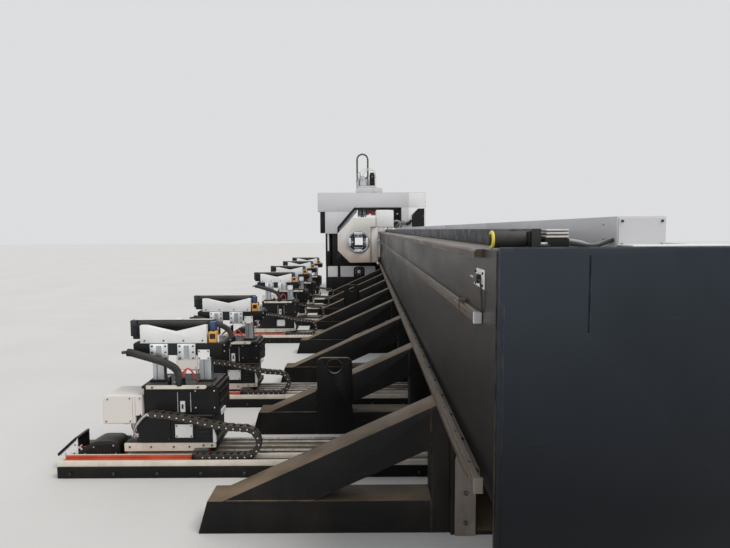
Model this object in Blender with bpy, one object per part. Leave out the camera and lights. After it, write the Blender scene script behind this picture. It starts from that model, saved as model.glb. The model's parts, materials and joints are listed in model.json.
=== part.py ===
"""Side-hung fiber laser cutting machine for long tubes and beams.

Metres, +Z up. X runs across the bed, Y along it (away from the operator's end), Z up from the floor.
The origin lies on the floor, under the middle of the bed.
"""

import math

import bmesh
import bpy
from mathutils import Matrix, Vector

# Clearances
SEAT_GAP = 0.0003
SPIN_GAP = 0.0025
WORKING_GAP = 0.012

# Bed
BED_LENGTH = 15.6
BED_WIDTH = 1.0
BED_UNDERSIDE = 0.80
BED_TOP = 1.63
BED_WALL = 0.03
END_PLATE_THICKNESS = 0.025
END_PLATE_DROP = 0.20
END_PLATE_LIP = 0.01
SEAM_OFFSET = 0.22
SEAM_WIDTH = 0.006
SEAM_LENGTH = 0.24

# Pedestal under the bed
PEDESTAL_LEFT = 0.40
PEDESTAL_RIGHT = 0.42
PEDESTAL_WALL = 0.025
FLANGE_REACH = 0.045
FLANGE_THICKNESS = 0.02

# Rails on the bed's left side and the strips on its top
RAIL_END_INSET = 0.25
LEDGE_HEIGHT = 0.03
LEDGE_REACH = 0.055
RAIL_HEAD_HEIGHT = 0.035
RAIL_HEAD_WIDTH = 0.022
MIDDLE_RAIL_HEIGHT = 1.386
MIDDLE_RAIL_SIZE = 0.030
MIDDLE_RAIL_WAIST = 0.006
UPPER_RAIL_SIZE = 0.032
UPPER_RAIL_CHAMFER = 0.010
STRIP_OFFSET = 0.35
STRIP_WIDTH = 0.030
STRIP_HEIGHT = 0.070
STRIP_END_INSET = 0.10
TRUNK_LEFT = 0.086
TRUNK_WIDTH = 0.163
TRUNK_HEIGHT = 0.110
TRUNK_SHEET_WIDTH = 0.17
TRUNK_SHEET_HEIGHT = 0.006

# Outriggers along the bed's left side
OUTRIGGER_COUNT = 8
OUTRIGGER_PITCH = 1.5
FIRST_OUTRIGGER = 1.37
OUTRIGGER_WIDTH = 0.20
FOOT_REACH = 1.46
FOOT_TOE_SLANT = 0.055
FOOT_HEIGHT = 0.19
BRACE_START = 0.14
BRACE_HEIGHT = 0.235
BRACE_DROP = 0.055
POST_WIDTH = 0.15
LUGGED_OUTRIGGERS = (1, 5)
LUG_OFFSET = 0.77
LUG_WIDTH = 0.29
LUG_TOP = 0.65
LUG_THICKNESS = 0.03
LUG_HOLE_RADIUS = 0.057
LUG_HOLE_DROP = 0.075
LUG_CORNER = 0.05

# Support carts, one in each of these bays between outriggers
CART_BAYS = (0, 1, 3, 4, 5, 6)
CART_OFFSET = 0.84
BASE_LENGTH = 2.64
CART_REST_INSET = 0.77
BASE_HALF_WIDTH = 0.22
BASE_HEIGHT = 0.10
TRAY_INNER_WIDTH = 0.09
TRAY_LIP = 0.02
TRAY_LIP_HEIGHT = 0.025
STOP_LENGTH = 0.137
STOP_HEIGHT = 0.12
DRIVE_START = 0.19
DRIVE_SLOPE = 0.12
DRIVE_HEIGHT = 0.17
CART_RAIL_WIDTH = 0.03
CART_RAIL_HEIGHT = 0.03
CART_RAIL_FRONT = -0.07
CART_RAIL_BACK = 0.15
SHOE_LENGTH = 0.12
SHOE_WIDTH = 0.08

SADDLE_LEFT = 0.35
SADDLE_RIGHT = 0.30
SADDLE_FRONT = 0.13
SADDLE_BACK = 0.20
SADDLE_LIFT = 0.047
SADDLE_THICKNESS = 0.058
LOWER_BODY_LEFT = 0.26
LOWER_BODY_RIGHT = 0.275
LOWER_BODY_FRONT = 0.12
LOWER_BODY_HEIGHT = 0.195
UPPER_BODY_LEFT = 0.21
UPPER_BODY_RIGHT = 0.32
UPPER_BODY_FRONT = 0.10
UPPER_BODY_HEIGHT = 0.20
TOP_PLATE_RIGHT = 0.30
TOP_PLATE_FRONT = 0.15
TOP_PLATE_THICKNESS = 0.02
MOTOR_COVER_LENGTH = 0.29
MOTOR_COVER_FRONT = 0.13
MOTOR_COVER_DEPTH = 0.25
MOTOR_COVER_DROP = 0.226
MOTOR_COVER_HEIGHT = 0.176
MOTOR_COVER_ROUND = 0.03
CONDUIT_RADIUS = 0.028

COLUMN_LEFT = -0.135
COLUMN_RIGHT = 0.205
COLUMN_WIDTH = 0.08
COLUMN_DEPTH = 0.06
COLUMN_BACK = 0.02
COLUMN_ENGAGEMENT = 0.08
LIFT_UP = 0.20
LIFT_DOWN = 0.10
COLUMN_SHOWN = 0.20
CROSS_LEFT = 0.285
CROSS_RIGHT = 0.345
CROSS_FRONT = 0.07
CROSS_BACK = 0.17
CROSS_HEIGHT = 0.085
BEARING_LEFT = -0.105
BEARING_RIGHT = 0.095
BEARING_WIDTH = 0.13
BEARING_HEIGHT = 0.118
BEARING_THICKNESS = 0.016
V_HALF_WIDTH = 0.235
V_HEIGHT = 0.128
V_THICKNESS = 0.04
V_NOTCH_HALF_WIDTH = 0.205
V_NOTCH_DEPTH = 0.045
ROLLER_LEFT = 0.36
ROLLER_RIGHT = 0.25
ROLLER_BACK = 0.10
ROLLER_RADIUS = 0.028
ROLLER_BLOCK = 0.045
ROLLER_RISE = 0.118
SENSOR_OFFSET = 0.275
SENSOR_WIDTH = 0.06
SENSOR_HEIGHT = 0.08

CHAIN_WIDTH = 0.065
CHAIN_HEIGHT = 0.05
CHAIN_PITCH = 0.055
CHAIN_JOINT_INSET = 0.006
CHAIN_START = -0.145
CHAIN_TOP = 0.44
CHAIN_SAG = 0.08
CHAIN_BEND_CENTRE = 0.465
CHAIN_LOWER_END = 0.17
CHAIN_CLIP_LENGTH = 0.10
CHAIN_CLIP_THICKNESS = 0.02

# Chucks
AXIS_LEFT = 1.08
AXIS_HEIGHT = 1.38
FEED_FRONT = 4.70
FEED_DEPTH = 0.75
OCTAGON_HALF = 0.535
OCTAGON_SIDE = 0.32
ROTOR_RADIUS = 0.27
ROTOR_FLANGE = 0.29
ROTOR_FLANGE_THICKNESS = 0.03
BORE_RADIUS = 0.165
ROUND_STEPS = 32
JAW_OPENING = 0.12
JAW_OUTER = 0.255
JAW_NOSE = 0.05
JAW_NOSE_WIDTH = 0.07
JAW_WIDTH = 0.15
JAW_THICKNESS = 0.08
JAW_KEY_WIDTH = 0.06
JAW_KEY_DEPTH = 0.018

# Feed chuck carriage, hung on the bed's side
CARRIAGE_BED_GAP = 0.07
CARRIAGE_BOTTOM = 0.845
CARRIAGE_TOP = 2.19
CARRIAGE_SETBACK = 0.06
ARM_UNDERSIDE = 1.75
ARM_REACH = 0.35
GUIDE_LENGTH = 0.16
GUIDE_HEIGHT = 0.09

# Portal
PORTAL_FRONT = 5.70
PORTAL_DEPTH = 1.20
PORTAL_EAVE = 0.195
PORTAL_RIGHT = 0.757
PORTAL_TOP = 2.70
PORTAL_CLEAR_TOP = 2.30
PORTAL_END_DROP = 0.11
LEG_INNER = 1.67
LEG_WIDTH = 0.33
LEG_BOTTOM = 1.59
CHAMFER_BOTTOM = 1.764
CHAMFER_TOP_INNER = 1.21
RIGHT_LEG_INNER = 0.094
SLOT_WIDTH = 0.40
LINING_THICKNESS = 0.04
LINING_DEPTH = 0.20
LINING_DROP = 0.50
COLUMN_PLATE_WIDTH = 0.13
COLUMN_PLATE_SETBACK = 0.04
BASE_PLINTH_HEIGHT = 0.387
BASE_BOX_HEIGHT = 0.303
BASE_BOX_LEFT = 1.925
BASE_BOX_WIDTH = 0.28
BASE_BOX_SPACE = 0.08
BASE_BOX_WIDE = 0.35
BASE_SETBACK = 0.05
FLANGE_RADIUS = 0.133
HUB_RADIUS = 0.045
FLANGE_PROUD = 0.04
SIDE_BOX_LEFT = 0.36
SIDE_BOX_RIGHT = 0.72
SIDE_BOX_BOTTOM = 0.12
SIDE_BOX_TOP = 0.64
SIDE_BOX_PROUD = 0.10

# Middle chuck, held in the portal
MIDDLE_FRONT = 5.76
MIDDLE_DEPTH = 0.20
MIDDLE_COLUMN_GAP = 0.055
MIDDLE_RIGHT = 0.585
MIDDLE_TOP = 1.93
MIDDLE_CORNER = 0.28

# Cutting axes on the portal
HEAD_X = 0.985
HEAD_Y = 6.25
CROSS_TRAVEL = 0.18
SLIDE_LENGTH = 0.69
SLIDE_DEPTH = 0.60
SLIDE_HEIGHT = 0.21
SLIDE_SLANT = 0.06
TOWER_WIDTH = 0.24
TOWER_HEIGHT = 0.25
POLE_OFFSET = 0.14
POLE_SIZE = 0.08
POLE_HEIGHT = 0.38
POLE_FOOT = 0.03
RAM_SIZE = 0.14
RAM_TOP = 3.20
RAM_BOTTOM = 2.28
HEAD_WIDTH = 0.26
HEAD_DEPTH = 0.24
HEAD_HEIGHT = 0.22
NOZZLE_RADIUS = 0.035
NOZZLE_TIP = 0.008
NOZZLE_NECK = 0.028
NOZZLE_LENGTH = 0.12
MOTOR_SIZE = 0.155
MOTOR_HEIGHT = 0.39
MOTOR_OFFSET = 0.285
ARCH_WIDTH = 0.305
ARCH_HEIGHT = 0.93
ARCH_SECTION = 0.05
ARCH_BACK = 0.20
ARCH_STEPS = 12

# Driving planes worked out from the sizes above
BED_START = -BED_LENGTH / 2
BED_END = BED_LENGTH / 2
BED_SIDE = -BED_WIDTH / 2
FIRST_OUTRIGGER_Y = BED_START + FIRST_OUTRIGGER
PEDESTAL_START = FIRST_OUTRIGGER_Y - OUTRIGGER_WIDTH / 2 - FLANGE_THICKNESS
PEDESTAL_SIDE = -PEDESTAL_LEFT
PORTAL_BACK = PORTAL_FRONT + PORTAL_DEPTH
STRIP_END_Y = PORTAL_FRONT - SEAT_GAP
SADDLE_BOTTOM = BASE_HEIGHT + SADDLE_LIFT
LOWER_BODY_BOTTOM = SADDLE_BOTTOM + SADDLE_THICKNESS
UPPER_BODY_BOTTOM = LOWER_BODY_BOTTOM + LOWER_BODY_HEIGHT
TOP_PLATE_BOTTOM = UPPER_BODY_BOTTOM + UPPER_BODY_HEIGHT
TOP_PLATE_TOP = TOP_PLATE_BOTTOM + TOP_PLATE_THICKNESS
CROSS_BOTTOM = TOP_PLATE_TOP + COLUMN_SHOWN
CROSS_TOP = CROSS_BOTTOM + CROSS_HEIGHT
COLUMN_FOOT = TOP_PLATE_TOP - LIFT_UP - COLUMN_ENGAGEMENT
TRAY_FRONT = -BASE_HALF_WIDTH - TRAY_LIP
TRAY_INNER_BACK = -BASE_HALF_WIDTH + TRAY_INNER_WIDTH
CHAIN_MIDDLE_Y = (-BASE_HALF_WIDTH + TRAY_INNER_BACK) / 2
CART_BASE_RIGHT = PEDESTAL_SIDE - SEAT_GAP
CART_BASE_LEFT = CART_BASE_RIGHT - BASE_LENGTH
SADDLE_CENTRE_X = CART_BASE_LEFT + CART_REST_INSET
AXIS_X = -AXIS_LEFT
LEG_LEFT_X = -LEG_INNER - LEG_WIDTH
PORTAL_LEFT_X = LEG_LEFT_X - PORTAL_EAVE
CARRIAGE_RIGHT = BED_SIDE - CARRIAGE_BED_GAP
RAM_CENTRE_X = -HEAD_X
SINK = 0.004


def material(name, color, roughness, metallic=0.0):
    """A Principled BSDF of one plain finish."""
    made = bpy.data.materials.new(name)
    made.use_nodes = True
    shader = made.node_tree.nodes["Principled BSDF"]
    shader.inputs["Base Color"].default_value = (*color, 1.0)
    shader.inputs["Roughness"].default_value = roughness
    shader.inputs["Metallic"].default_value = metallic
    return made


def to_mesh(shape):
    """Faces turned outward, then a mesh made of the bmesh."""
    bmesh.ops.recalc_face_normals(shape, faces=shape.faces)
    mesh = bpy.data.meshes.new("shape")
    shape.to_mesh(mesh)
    shape.free()
    return mesh


def box(x, y, z):
    """A block between the two values given for each axis."""
    shape = bmesh.new()
    size = Vector((x[1] - x[0], y[1] - y[0], z[1] - z[0]))
    centre = Vector((x[0] + x[1], y[0] + y[1], z[0] + z[1])) / 2
    bmesh.ops.create_cube(shape, size=1.0)
    bmesh.ops.scale(shape, vec=size, verts=shape.verts)
    bmesh.ops.translate(shape, vec=centre, verts=shape.verts)
    return to_mesh(shape)


def prism(outline, axis, ends):
    """An outline drawn in the plane across an axis, extruded between the two ends.

    The outline holds (x, z) pairs for axis Y, (y, z) for axis X and (x, y) for axis Z.
    """
    place = {
        "X": lambda a, b: (ends[0], a, b),
        "Y": lambda a, b: (a, ends[0], b),
        "Z": lambda a, b: (a, b, ends[0]),
    }[axis]
    reach = Vector([float(axis == name) for name in "XYZ"]) * (ends[1] - ends[0])
    shape = bmesh.new()
    face = shape.faces.new([shape.verts.new(place(a, b)) for a, b in outline])
    grown = bmesh.ops.extrude_face_region(shape, geom=[face])
    moved = [item for item in grown["geom"] if isinstance(item, bmesh.types.BMVert)]
    bmesh.ops.translate(shape, vec=reach, verts=moved)
    return to_mesh(shape)


def drum(axis, centre, ends, radius, tip_radius=None, steps=ROUND_STEPS):
    """A cylinder or cone along an axis; centre holds the two other coordinates in order."""
    shape = bmesh.new()
    far_radius = radius if tip_radius is None else tip_radius
    bmesh.ops.create_cone(
        shape,
        cap_ends=True,
        segments=steps,
        radius1=radius,
        radius2=far_radius,
        depth=ends[1] - ends[0],
    )
    turn = {
        "X": Matrix.Rotation(math.pi / 2, 4, "Y"),
        "Y": Matrix.Rotation(-math.pi / 2, 4, "X"),
        "Z": Matrix.Identity(4),
    }[axis]
    middle = (ends[0] + ends[1]) / 2
    spot = {
        "X": (middle, *centre),
        "Y": (centre[0], middle, centre[-1]),
        "Z": (*centre, middle),
    }[axis]
    bmesh.ops.transform(shape, matrix=Matrix.Translation(spot) @ turn, verts=shape.verts)
    return to_mesh(shape)


def sweep(path, side, section, rolls=None):
    """A rectangular bar along a path in the plane across the side vector.

    Section gives (half width along side, half height); rolls gives a scale for each point.
    """
    shape = bmesh.new()
    rings = []
    for index, point in enumerate(path):
        before = path[max(index - 1, 0)]
        after = path[min(index + 1, len(path) - 1)]
        up = (after - before).normalized().cross(side)
        scale = rolls[index] if rolls else (1.0, 1.0)
        wide = side * section[0] * scale[0]
        high = up * section[1] * scale[1]
        corners = (point - wide - high, point + wide - high, point + wide + high, point - wide + high)
        rings.append([shape.verts.new(corner) for corner in corners])
    for first, second in zip(rings, rings[1:]):
        for corner in range(4):
            following = (corner + 1) % 4
            shape.faces.new((first[corner], first[following], second[following], second[corner]))
    shape.faces.new(rings[0][::-1])
    shape.faces.new(rings[-1])
    return to_mesh(shape)


def hose(path, radius, steps=8):
    """A round pipe along a smooth path, with filled ends."""
    curve = bpy.data.curves.new("hose", "CURVE")
    curve.dimensions = "3D"
    spline = curve.splines.new("POLY")
    spline.points.add(len(path) - 1)
    for spot, point in zip(spline.points, path):
        spot.co = (*point, 1.0)
    curve.bevel_depth = radius
    curve.bevel_resolution = steps // 4
    curve.use_fill_caps = True
    return bake(bpy.data.objects.new("hose", curve))


def helper(mesh):
    """A mesh as an object that is only used to shape another one."""
    guide = bpy.data.objects.new("helper", mesh)
    guide.hide_render = True
    guide.display_type = "WIRE"
    bpy.context.scene.collection.objects.link(guide)
    return guide


def bake(source):
    """The mesh of an object with its modifiers or bevel applied."""
    if source.name not in bpy.context.scene.collection.objects:
        bpy.context.scene.collection.objects.link(source)
    bpy.context.view_layer.update()
    graph = bpy.context.evaluated_depsgraph_get()
    mesh = bpy.data.meshes.new_from_object(source.evaluated_get(graph))
    bpy.data.objects.remove(source)
    return mesh


def shape_of(pieces, cuts=(), bevel=0.0):
    """One closed mesh: the pieces fused together, less the cuts, with a narrow bevel on sharp edges."""
    body = helper(pieces[0])
    helpers = []
    for meshes, operation in ((pieces[1:], "UNION"), (cuts, "DIFFERENCE")):
        for mesh in meshes:
            tool = helper(mesh)
            helpers.append(tool)
            step = body.modifiers.new(operation.lower(), "BOOLEAN")
            step.operation = operation
            step.solver = "EXACT"
            step.object = tool
    if bevel:
        edge = body.modifiers.new("bevel", "BEVEL")
        edge.width = bevel
        edge.segments = 1
        edge.limit_method = "ANGLE"
        edge.angle_limit = math.radians(50)
    mesh = bake(body)
    for tool in helpers:
        bpy.data.objects.remove(tool)
    return mesh


def piece(name, mesh, finish, parent=None):
    """A named sub-part of the machine, smooth over its round faces and sharp at its edges."""
    made = bpy.data.objects.new(name, mesh)
    bpy.context.scene.collection.objects.link(made)
    made.parent = parent
    if finish.name not in mesh.materials:
        mesh.materials.clear()
        mesh.materials.append(finish)
    mesh.shade_smooth()
    mesh.set_sharp_from_angle(angle=math.radians(30))
    return made


def pivot(name, place, parent=None):
    """An empty on a joint's axis, which carries what moves with that joint."""
    empty = bpy.data.objects.new(name, None)
    empty.location = place
    empty.parent = parent
    empty.empty_display_size = 0.2
    bpy.context.scene.collection.objects.link(empty)
    return empty


def arc(centre, radius, first, last, steps):
    """Points (a, b) on a round stretch, from the first to the last angle in degrees."""
    angles = [math.radians(first + (last - first) * n / steps) for n in range(steps + 1)]
    return [(centre[0] + radius * math.cos(a), centre[1] + radius * math.sin(a)) for a in angles]


def build_bed(paint, plate_paint):
    """The hollow box beam, its near end plate with a seam, and the pedestal under it."""
    start = BED_START + END_PLATE_THICKNESS + SEAT_GAP
    inner = BED_WIDTH / 2 - BED_WALL
    beam = shape_of(
        [box((BED_SIDE, -BED_SIDE), (start, BED_END), (BED_UNDERSIDE, BED_TOP))],
        [
            box(
                (-inner, inner),
                (start - SINK, BED_END - BED_WALL),
                (BED_UNDERSIDE + BED_WALL, BED_TOP - BED_WALL),
            )
        ],
    )
    piece("bed_beam", beam, paint)

    plate_half = BED_WIDTH / 2
    seam_top = BED_TOP - END_PLATE_LIP
    plate = shape_of(
        [
            box(
                (-plate_half, plate_half),
                (BED_START, BED_START + END_PLATE_THICKNESS),
                (BED_UNDERSIDE - END_PLATE_DROP, BED_TOP + END_PLATE_LIP),
            )
        ],
        [
            box(
                (-SEAM_OFFSET - SEAM_WIDTH / 2, -SEAM_OFFSET + SEAM_WIDTH / 2),
                (BED_START - SINK, BED_START + END_PLATE_THICKNESS / 4),
                (seam_top - SEAM_LENGTH, seam_top),
            )
        ],
        bevel=0.002,
    )
    piece("near_end_plate", plate, plate_paint)

    top = BED_UNDERSIDE - SEAT_GAP
    end = -PEDESTAL_START
    tube = box((PEDESTAL_SIDE, PEDESTAL_RIGHT), (PEDESTAL_START, end), (0, top))
    flange = box(
        (PEDESTAL_SIDE - FLANGE_REACH, PEDESTAL_RIGHT + FLANGE_REACH),
        (PEDESTAL_START, PEDESTAL_START + FLANGE_THICKNESS - SEAT_GAP),
        (0, top),
    )
    hollow = box(
        (PEDESTAL_SIDE + PEDESTAL_WALL, PEDESTAL_RIGHT - PEDESTAL_WALL),
        (PEDESTAL_START - SINK, end + SINK),
        (PEDESTAL_WALL, top - PEDESTAL_WALL),
    )
    piece("bed_pedestal", shape_of([tube, flange], [hollow]), paint)


def build_rails(rail_paint, cover_paint, black):
    """The ledge, guide rail and rack along the bed's left side, and what runs along its top."""
    run = (BED_START + RAIL_END_INSET, BED_END - RAIL_END_INSET)
    wall = BED_SIDE - SEAT_GAP
    edge = wall - LEDGE_REACH
    ledge_top = BED_UNDERSIDE + LEDGE_HEIGHT
    head_top = ledge_top + RAIL_HEAD_HEIGHT
    head_inner = edge + RAIL_HEAD_WIDTH
    lower = [
        (wall, BED_UNDERSIDE),
        (edge, BED_UNDERSIDE),
        (edge, head_top),
        (head_inner, head_top),
        (head_inner, ledge_top),
        (wall, ledge_top),
    ]
    piece("lower_rail", prism(lower, "Y", run), rail_paint)

    half = MIDDLE_RAIL_SIZE / 2
    neck = half - MIDDLE_RAIL_WAIST
    outer = wall - MIDDLE_RAIL_SIZE
    waist = (outer + wall) / 2
    z = MIDDLE_RAIL_HEIGHT
    middle = [
        (wall, z - half),
        (waist, z - neck),
        (outer, z - half),
        (outer, z + half),
        (waist, z + neck),
        (wall, z + half),
    ]
    piece("middle_rail", prism(middle, "Y", run), rail_paint)

    rail_top = BED_TOP
    rail_outer = wall - UPPER_RAIL_SIZE
    upper = [
        (wall, rail_top),
        (wall, rail_top - UPPER_RAIL_SIZE),
        (rail_outer, rail_top - UPPER_RAIL_SIZE),
        (rail_outer, rail_top - UPPER_RAIL_CHAMFER),
        (rail_outer + UPPER_RAIL_CHAMFER, rail_top),
    ]
    piece("upper_rail", prism(upper, "Y", run), rail_paint)

    top = BED_TOP + SEAT_GAP
    near = BED_START + END_PLATE_THICKNESS + STRIP_END_INSET
    strip = shape_of(
        [
            box(
                (-STRIP_OFFSET - STRIP_WIDTH / 2, -STRIP_OFFSET + STRIP_WIDTH / 2),
                (near, STRIP_END_Y),
                (top, top + STRIP_HEIGHT),
            )
        ],
        bevel=0.003,
    )
    piece("rack_cover", strip, black)

    left = -TRUNK_LEFT
    right = left + TRUNK_WIDTH
    trunk = shape_of(
        [
            box((left, right), (near, STRIP_END_Y), (top, top + TRUNK_HEIGHT)),
            box(
                (right - SINK, right + TRUNK_SHEET_WIDTH),
                (near, STRIP_END_Y),
                (top, top + TRUNK_SHEET_HEIGHT),
            ),
        ]
    )
    piece("cable_trunk", trunk, cover_paint)


def build_outriggers(paint):
    """Slanted box braces on long feet, every pitch along the bed; two carry a lifting lug."""
    wall = PEDESTAL_SIDE - SEAT_GAP
    heel_top = BED_UNDERSIDE - SEAT_GAP
    toe = PEDESTAL_SIDE - FOOT_REACH
    brace_left = toe + BRACE_START
    brace_top = heel_top - BRACE_DROP
    slope = (brace_top - FOOT_HEIGHT) / (BED_SIDE - brace_left)
    side = [
        (toe, 0.0),
        (wall, 0.0),
        (wall, heel_top),
        (BED_SIDE, heel_top),
        (BED_SIDE, brace_top),
        (brace_left, FOOT_HEIGHT),
        (toe + FOOT_TOE_SLANT, FOOT_HEIGHT),
    ]
    post = wall - POST_WIDTH
    under = FOOT_HEIGHT - BRACE_HEIGHT
    window = [
        (brace_left + (FOOT_HEIGHT - under) / slope, FOOT_HEIGHT),
        (post, FOOT_HEIGHT),
        (post, under + slope * (post - brace_left)),
    ]
    half = OUTRIGGER_WIDTH / 2
    plain = shape_of([prism(side, "Y", (-half, half))], [prism(window, "Y", (-half - SINK, half + SINK))])

    lug_x = PEDESTAL_SIDE - LUG_OFFSET
    lug_half = LUG_WIDTH / 2
    shoulder = LUG_TOP - LUG_CORNER
    outline = [(lug_x - lug_half, FOOT_HEIGHT / 2), (lug_x + lug_half, FOOT_HEIGHT / 2)]
    outline += arc((lug_x + lug_half - LUG_CORNER, shoulder), LUG_CORNER, 0, 90, 4)
    outline += arc((lug_x - lug_half + LUG_CORNER, shoulder), LUG_CORNER, 90, 180, 4)
    lug_span = (-half, -half + LUG_THICKNESS)
    hole = drum(
        "Y",
        (lug_x, LUG_TOP - LUG_HOLE_DROP),
        (lug_span[0] - SINK, lug_span[1] + SINK),
        LUG_HOLE_RADIUS,
        steps=24,
    )
    lugged = shape_of([plain.copy(), prism(outline, "Y", lug_span)], [hole])
    for index in range(OUTRIGGER_COUNT):
        mesh = lugged if index in LUGGED_OUTRIGGERS else plain
        made = piece(f"outrigger_{index + 1}", mesh, paint)
        made.location.y = FIRST_OUTRIGGER_Y + OUTRIGGER_PITCH * index


def base_beam_mesh():
    """A cart's cross beam with its chain tray, two rails, the end stop and the drive housing."""
    right = CART_BASE_RIGHT
    left = CART_BASE_LEFT
    top = BASE_HEIGHT
    lip_top = top + TRAY_LIP_HEIGHT
    beam = box((left, right), (TRAY_FRONT, BASE_HALF_WIDTH), (0, top))
    front_lip = box((left, right), (TRAY_FRONT, -BASE_HALF_WIDTH), (top - SINK, lip_top))
    back_lip = box((left, right), (TRAY_INNER_BACK, TRAY_INNER_BACK + TRAY_LIP / 2), (top - SINK, lip_top))
    drive_left = left + DRIVE_START
    drive_right = SADDLE_CENTRE_X - SADDLE_LEFT - WORKING_GAP
    drive = [
        (drive_left, top - SINK),
        (drive_right, top - SINK),
        (drive_right, top + DRIVE_HEIGHT),
        (drive_left + DRIVE_SLOPE, top + DRIVE_HEIGHT),
        (drive_left, top + DRIVE_HEIGHT / 4),
    ]
    stop = [(left, top - SINK), (left + STOP_LENGTH, top - SINK), (left + STOP_LENGTH, top + STOP_HEIGHT)]
    rail_half = CART_RAIL_WIDTH / 2
    rails = [
        box((drive_right + SINK, right), (y - rail_half, y + rail_half), (top - SINK, top + CART_RAIL_HEIGHT))
        for y in (CART_RAIL_FRONT, CART_RAIL_BACK)
    ]
    drive_back = CART_RAIL_BACK - CART_RAIL_WIDTH
    return shape_of(
        [
            beam,
            front_lip,
            back_lip,
            prism(drive, "Y", (TRAY_INNER_BACK + TRAY_LIP, drive_back)),
            prism(stop, "Y", (TRAY_INNER_BACK + TRAY_LIP, drive_back)),
            *rails,
        ]
    )


def carriage_mesh():
    """A cart's carriage: shoes, saddle plate, body, top plate, motor cover, chain clip and conduit."""
    back = SADDLE_BACK
    shoe_half = SHOE_WIDTH / 2
    rail_half = CART_RAIL_WIDTH / 2 + SEAT_GAP
    rail_top = BASE_HEIGHT + CART_RAIL_HEIGHT + SEAT_GAP
    shoe_bottom = BASE_HEIGHT + CART_RAIL_HEIGHT / 3
    shoe_starts = (-SADDLE_LEFT, SADDLE_RIGHT - SHOE_LENGTH)
    rows = (CART_RAIL_FRONT, CART_RAIL_BACK)
    shoes = [
        box((x, x + SHOE_LENGTH), (y - shoe_half, y + shoe_half), (shoe_bottom, SADDLE_BOTTOM + SINK))
        for x in shoe_starts
        for y in rows
    ]
    grooves = [
        box(
            (-SADDLE_LEFT - SINK, SADDLE_RIGHT + SINK),
            (y - rail_half, y + rail_half),
            (shoe_bottom - SINK, rail_top),
        )
        for y in rows
    ]
    saddle = box((-SADDLE_LEFT, SADDLE_RIGHT), (-SADDLE_FRONT, back), (SADDLE_BOTTOM, LOWER_BODY_BOTTOM))
    lower = box(
        (-LOWER_BODY_LEFT, LOWER_BODY_RIGHT),
        (-LOWER_BODY_FRONT, back),
        (LOWER_BODY_BOTTOM - SINK, UPPER_BODY_BOTTOM),
    )
    upper = box(
        (-UPPER_BODY_LEFT, UPPER_BODY_RIGHT),
        (-UPPER_BODY_FRONT, back),
        (UPPER_BODY_BOTTOM - SINK, TOP_PLATE_BOTTOM),
    )
    plate = box(
        (-UPPER_BODY_LEFT + SINK, TOP_PLATE_RIGHT),
        (-TOP_PLATE_FRONT, back - SINK),
        (TOP_PLATE_BOTTOM - SINK, TOP_PLATE_TOP),
    )
    cover_bottom = TOP_PLATE_BOTTOM - MOTOR_COVER_DROP
    cover_right = -UPPER_BODY_LEFT + SINK
    cover_left = cover_right - MOTOR_COVER_LENGTH
    cover_top = cover_bottom + MOTOR_COVER_HEIGHT
    corner = (cover_left + MOTOR_COVER_ROUND, cover_top - MOTOR_COVER_ROUND)
    outline = [(cover_left, cover_bottom), (cover_right, cover_bottom), (cover_right, cover_top)]
    outline += arc(corner, MOTOR_COVER_ROUND, 90, 180, 4)
    cover = prism(outline, "Y", (-MOTOR_COVER_FRONT, MOTOR_COVER_DEPTH - MOTOR_COVER_FRONT))
    clip_bottom = CHAIN_TOP + CHAIN_HEIGHT / 2 + SEAT_GAP
    clip = box(
        (CHAIN_START, CHAIN_START + CHAIN_CLIP_LENGTH),
        (CHAIN_MIDDLE_Y - CHAIN_WIDTH / 2, -UPPER_BODY_FRONT + SINK),
        (clip_bottom, clip_bottom + CHAIN_CLIP_THICKNESS),
    )
    y = -CROSS_FRONT - BEARING_THICKNESS - CONDUIT_RADIUS - WORKING_GAP
    foot = Vector(((COLUMN_LEFT + COLUMN_RIGHT) / 2, y, TOP_PLATE_TOP - SINK))
    knee = Vector((foot.x - COLUMN_WIDTH / 2, y, TOP_PLATE_TOP + COLUMN_SHOWN * 0.75))
    tip = Vector((-CROSS_LEFT, y, CROSS_BOTTOM + CROSS_HEIGHT / 4))
    steps = 10
    path = []
    for n in range(steps + 1):
        t = n / steps
        path.append(foot * (1 - t) ** 2 + knee * 2 * t * (1 - t) + tip * t * t)
    return shape_of(
        [saddle, *shoes, lower, upper, plate, cover, clip, hose(path, CONDUIT_RADIUS)],
        [*grooves, *[column_well(x) for x in (COLUMN_LEFT, COLUMN_RIGHT)]],
    )


def column_well(x):
    """The square pocket in the carriage that a lifting column slides in."""
    half = COLUMN_WIDTH / 2 + SEAT_GAP
    deep = COLUMN_DEPTH / 2 + SEAT_GAP
    floor = COLUMN_FOOT - LIFT_DOWN - WORKING_GAP
    return box((x - half, x + half), (COLUMN_BACK - deep, COLUMN_BACK + deep), (floor, TOP_PLATE_TOP + SINK))


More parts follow.
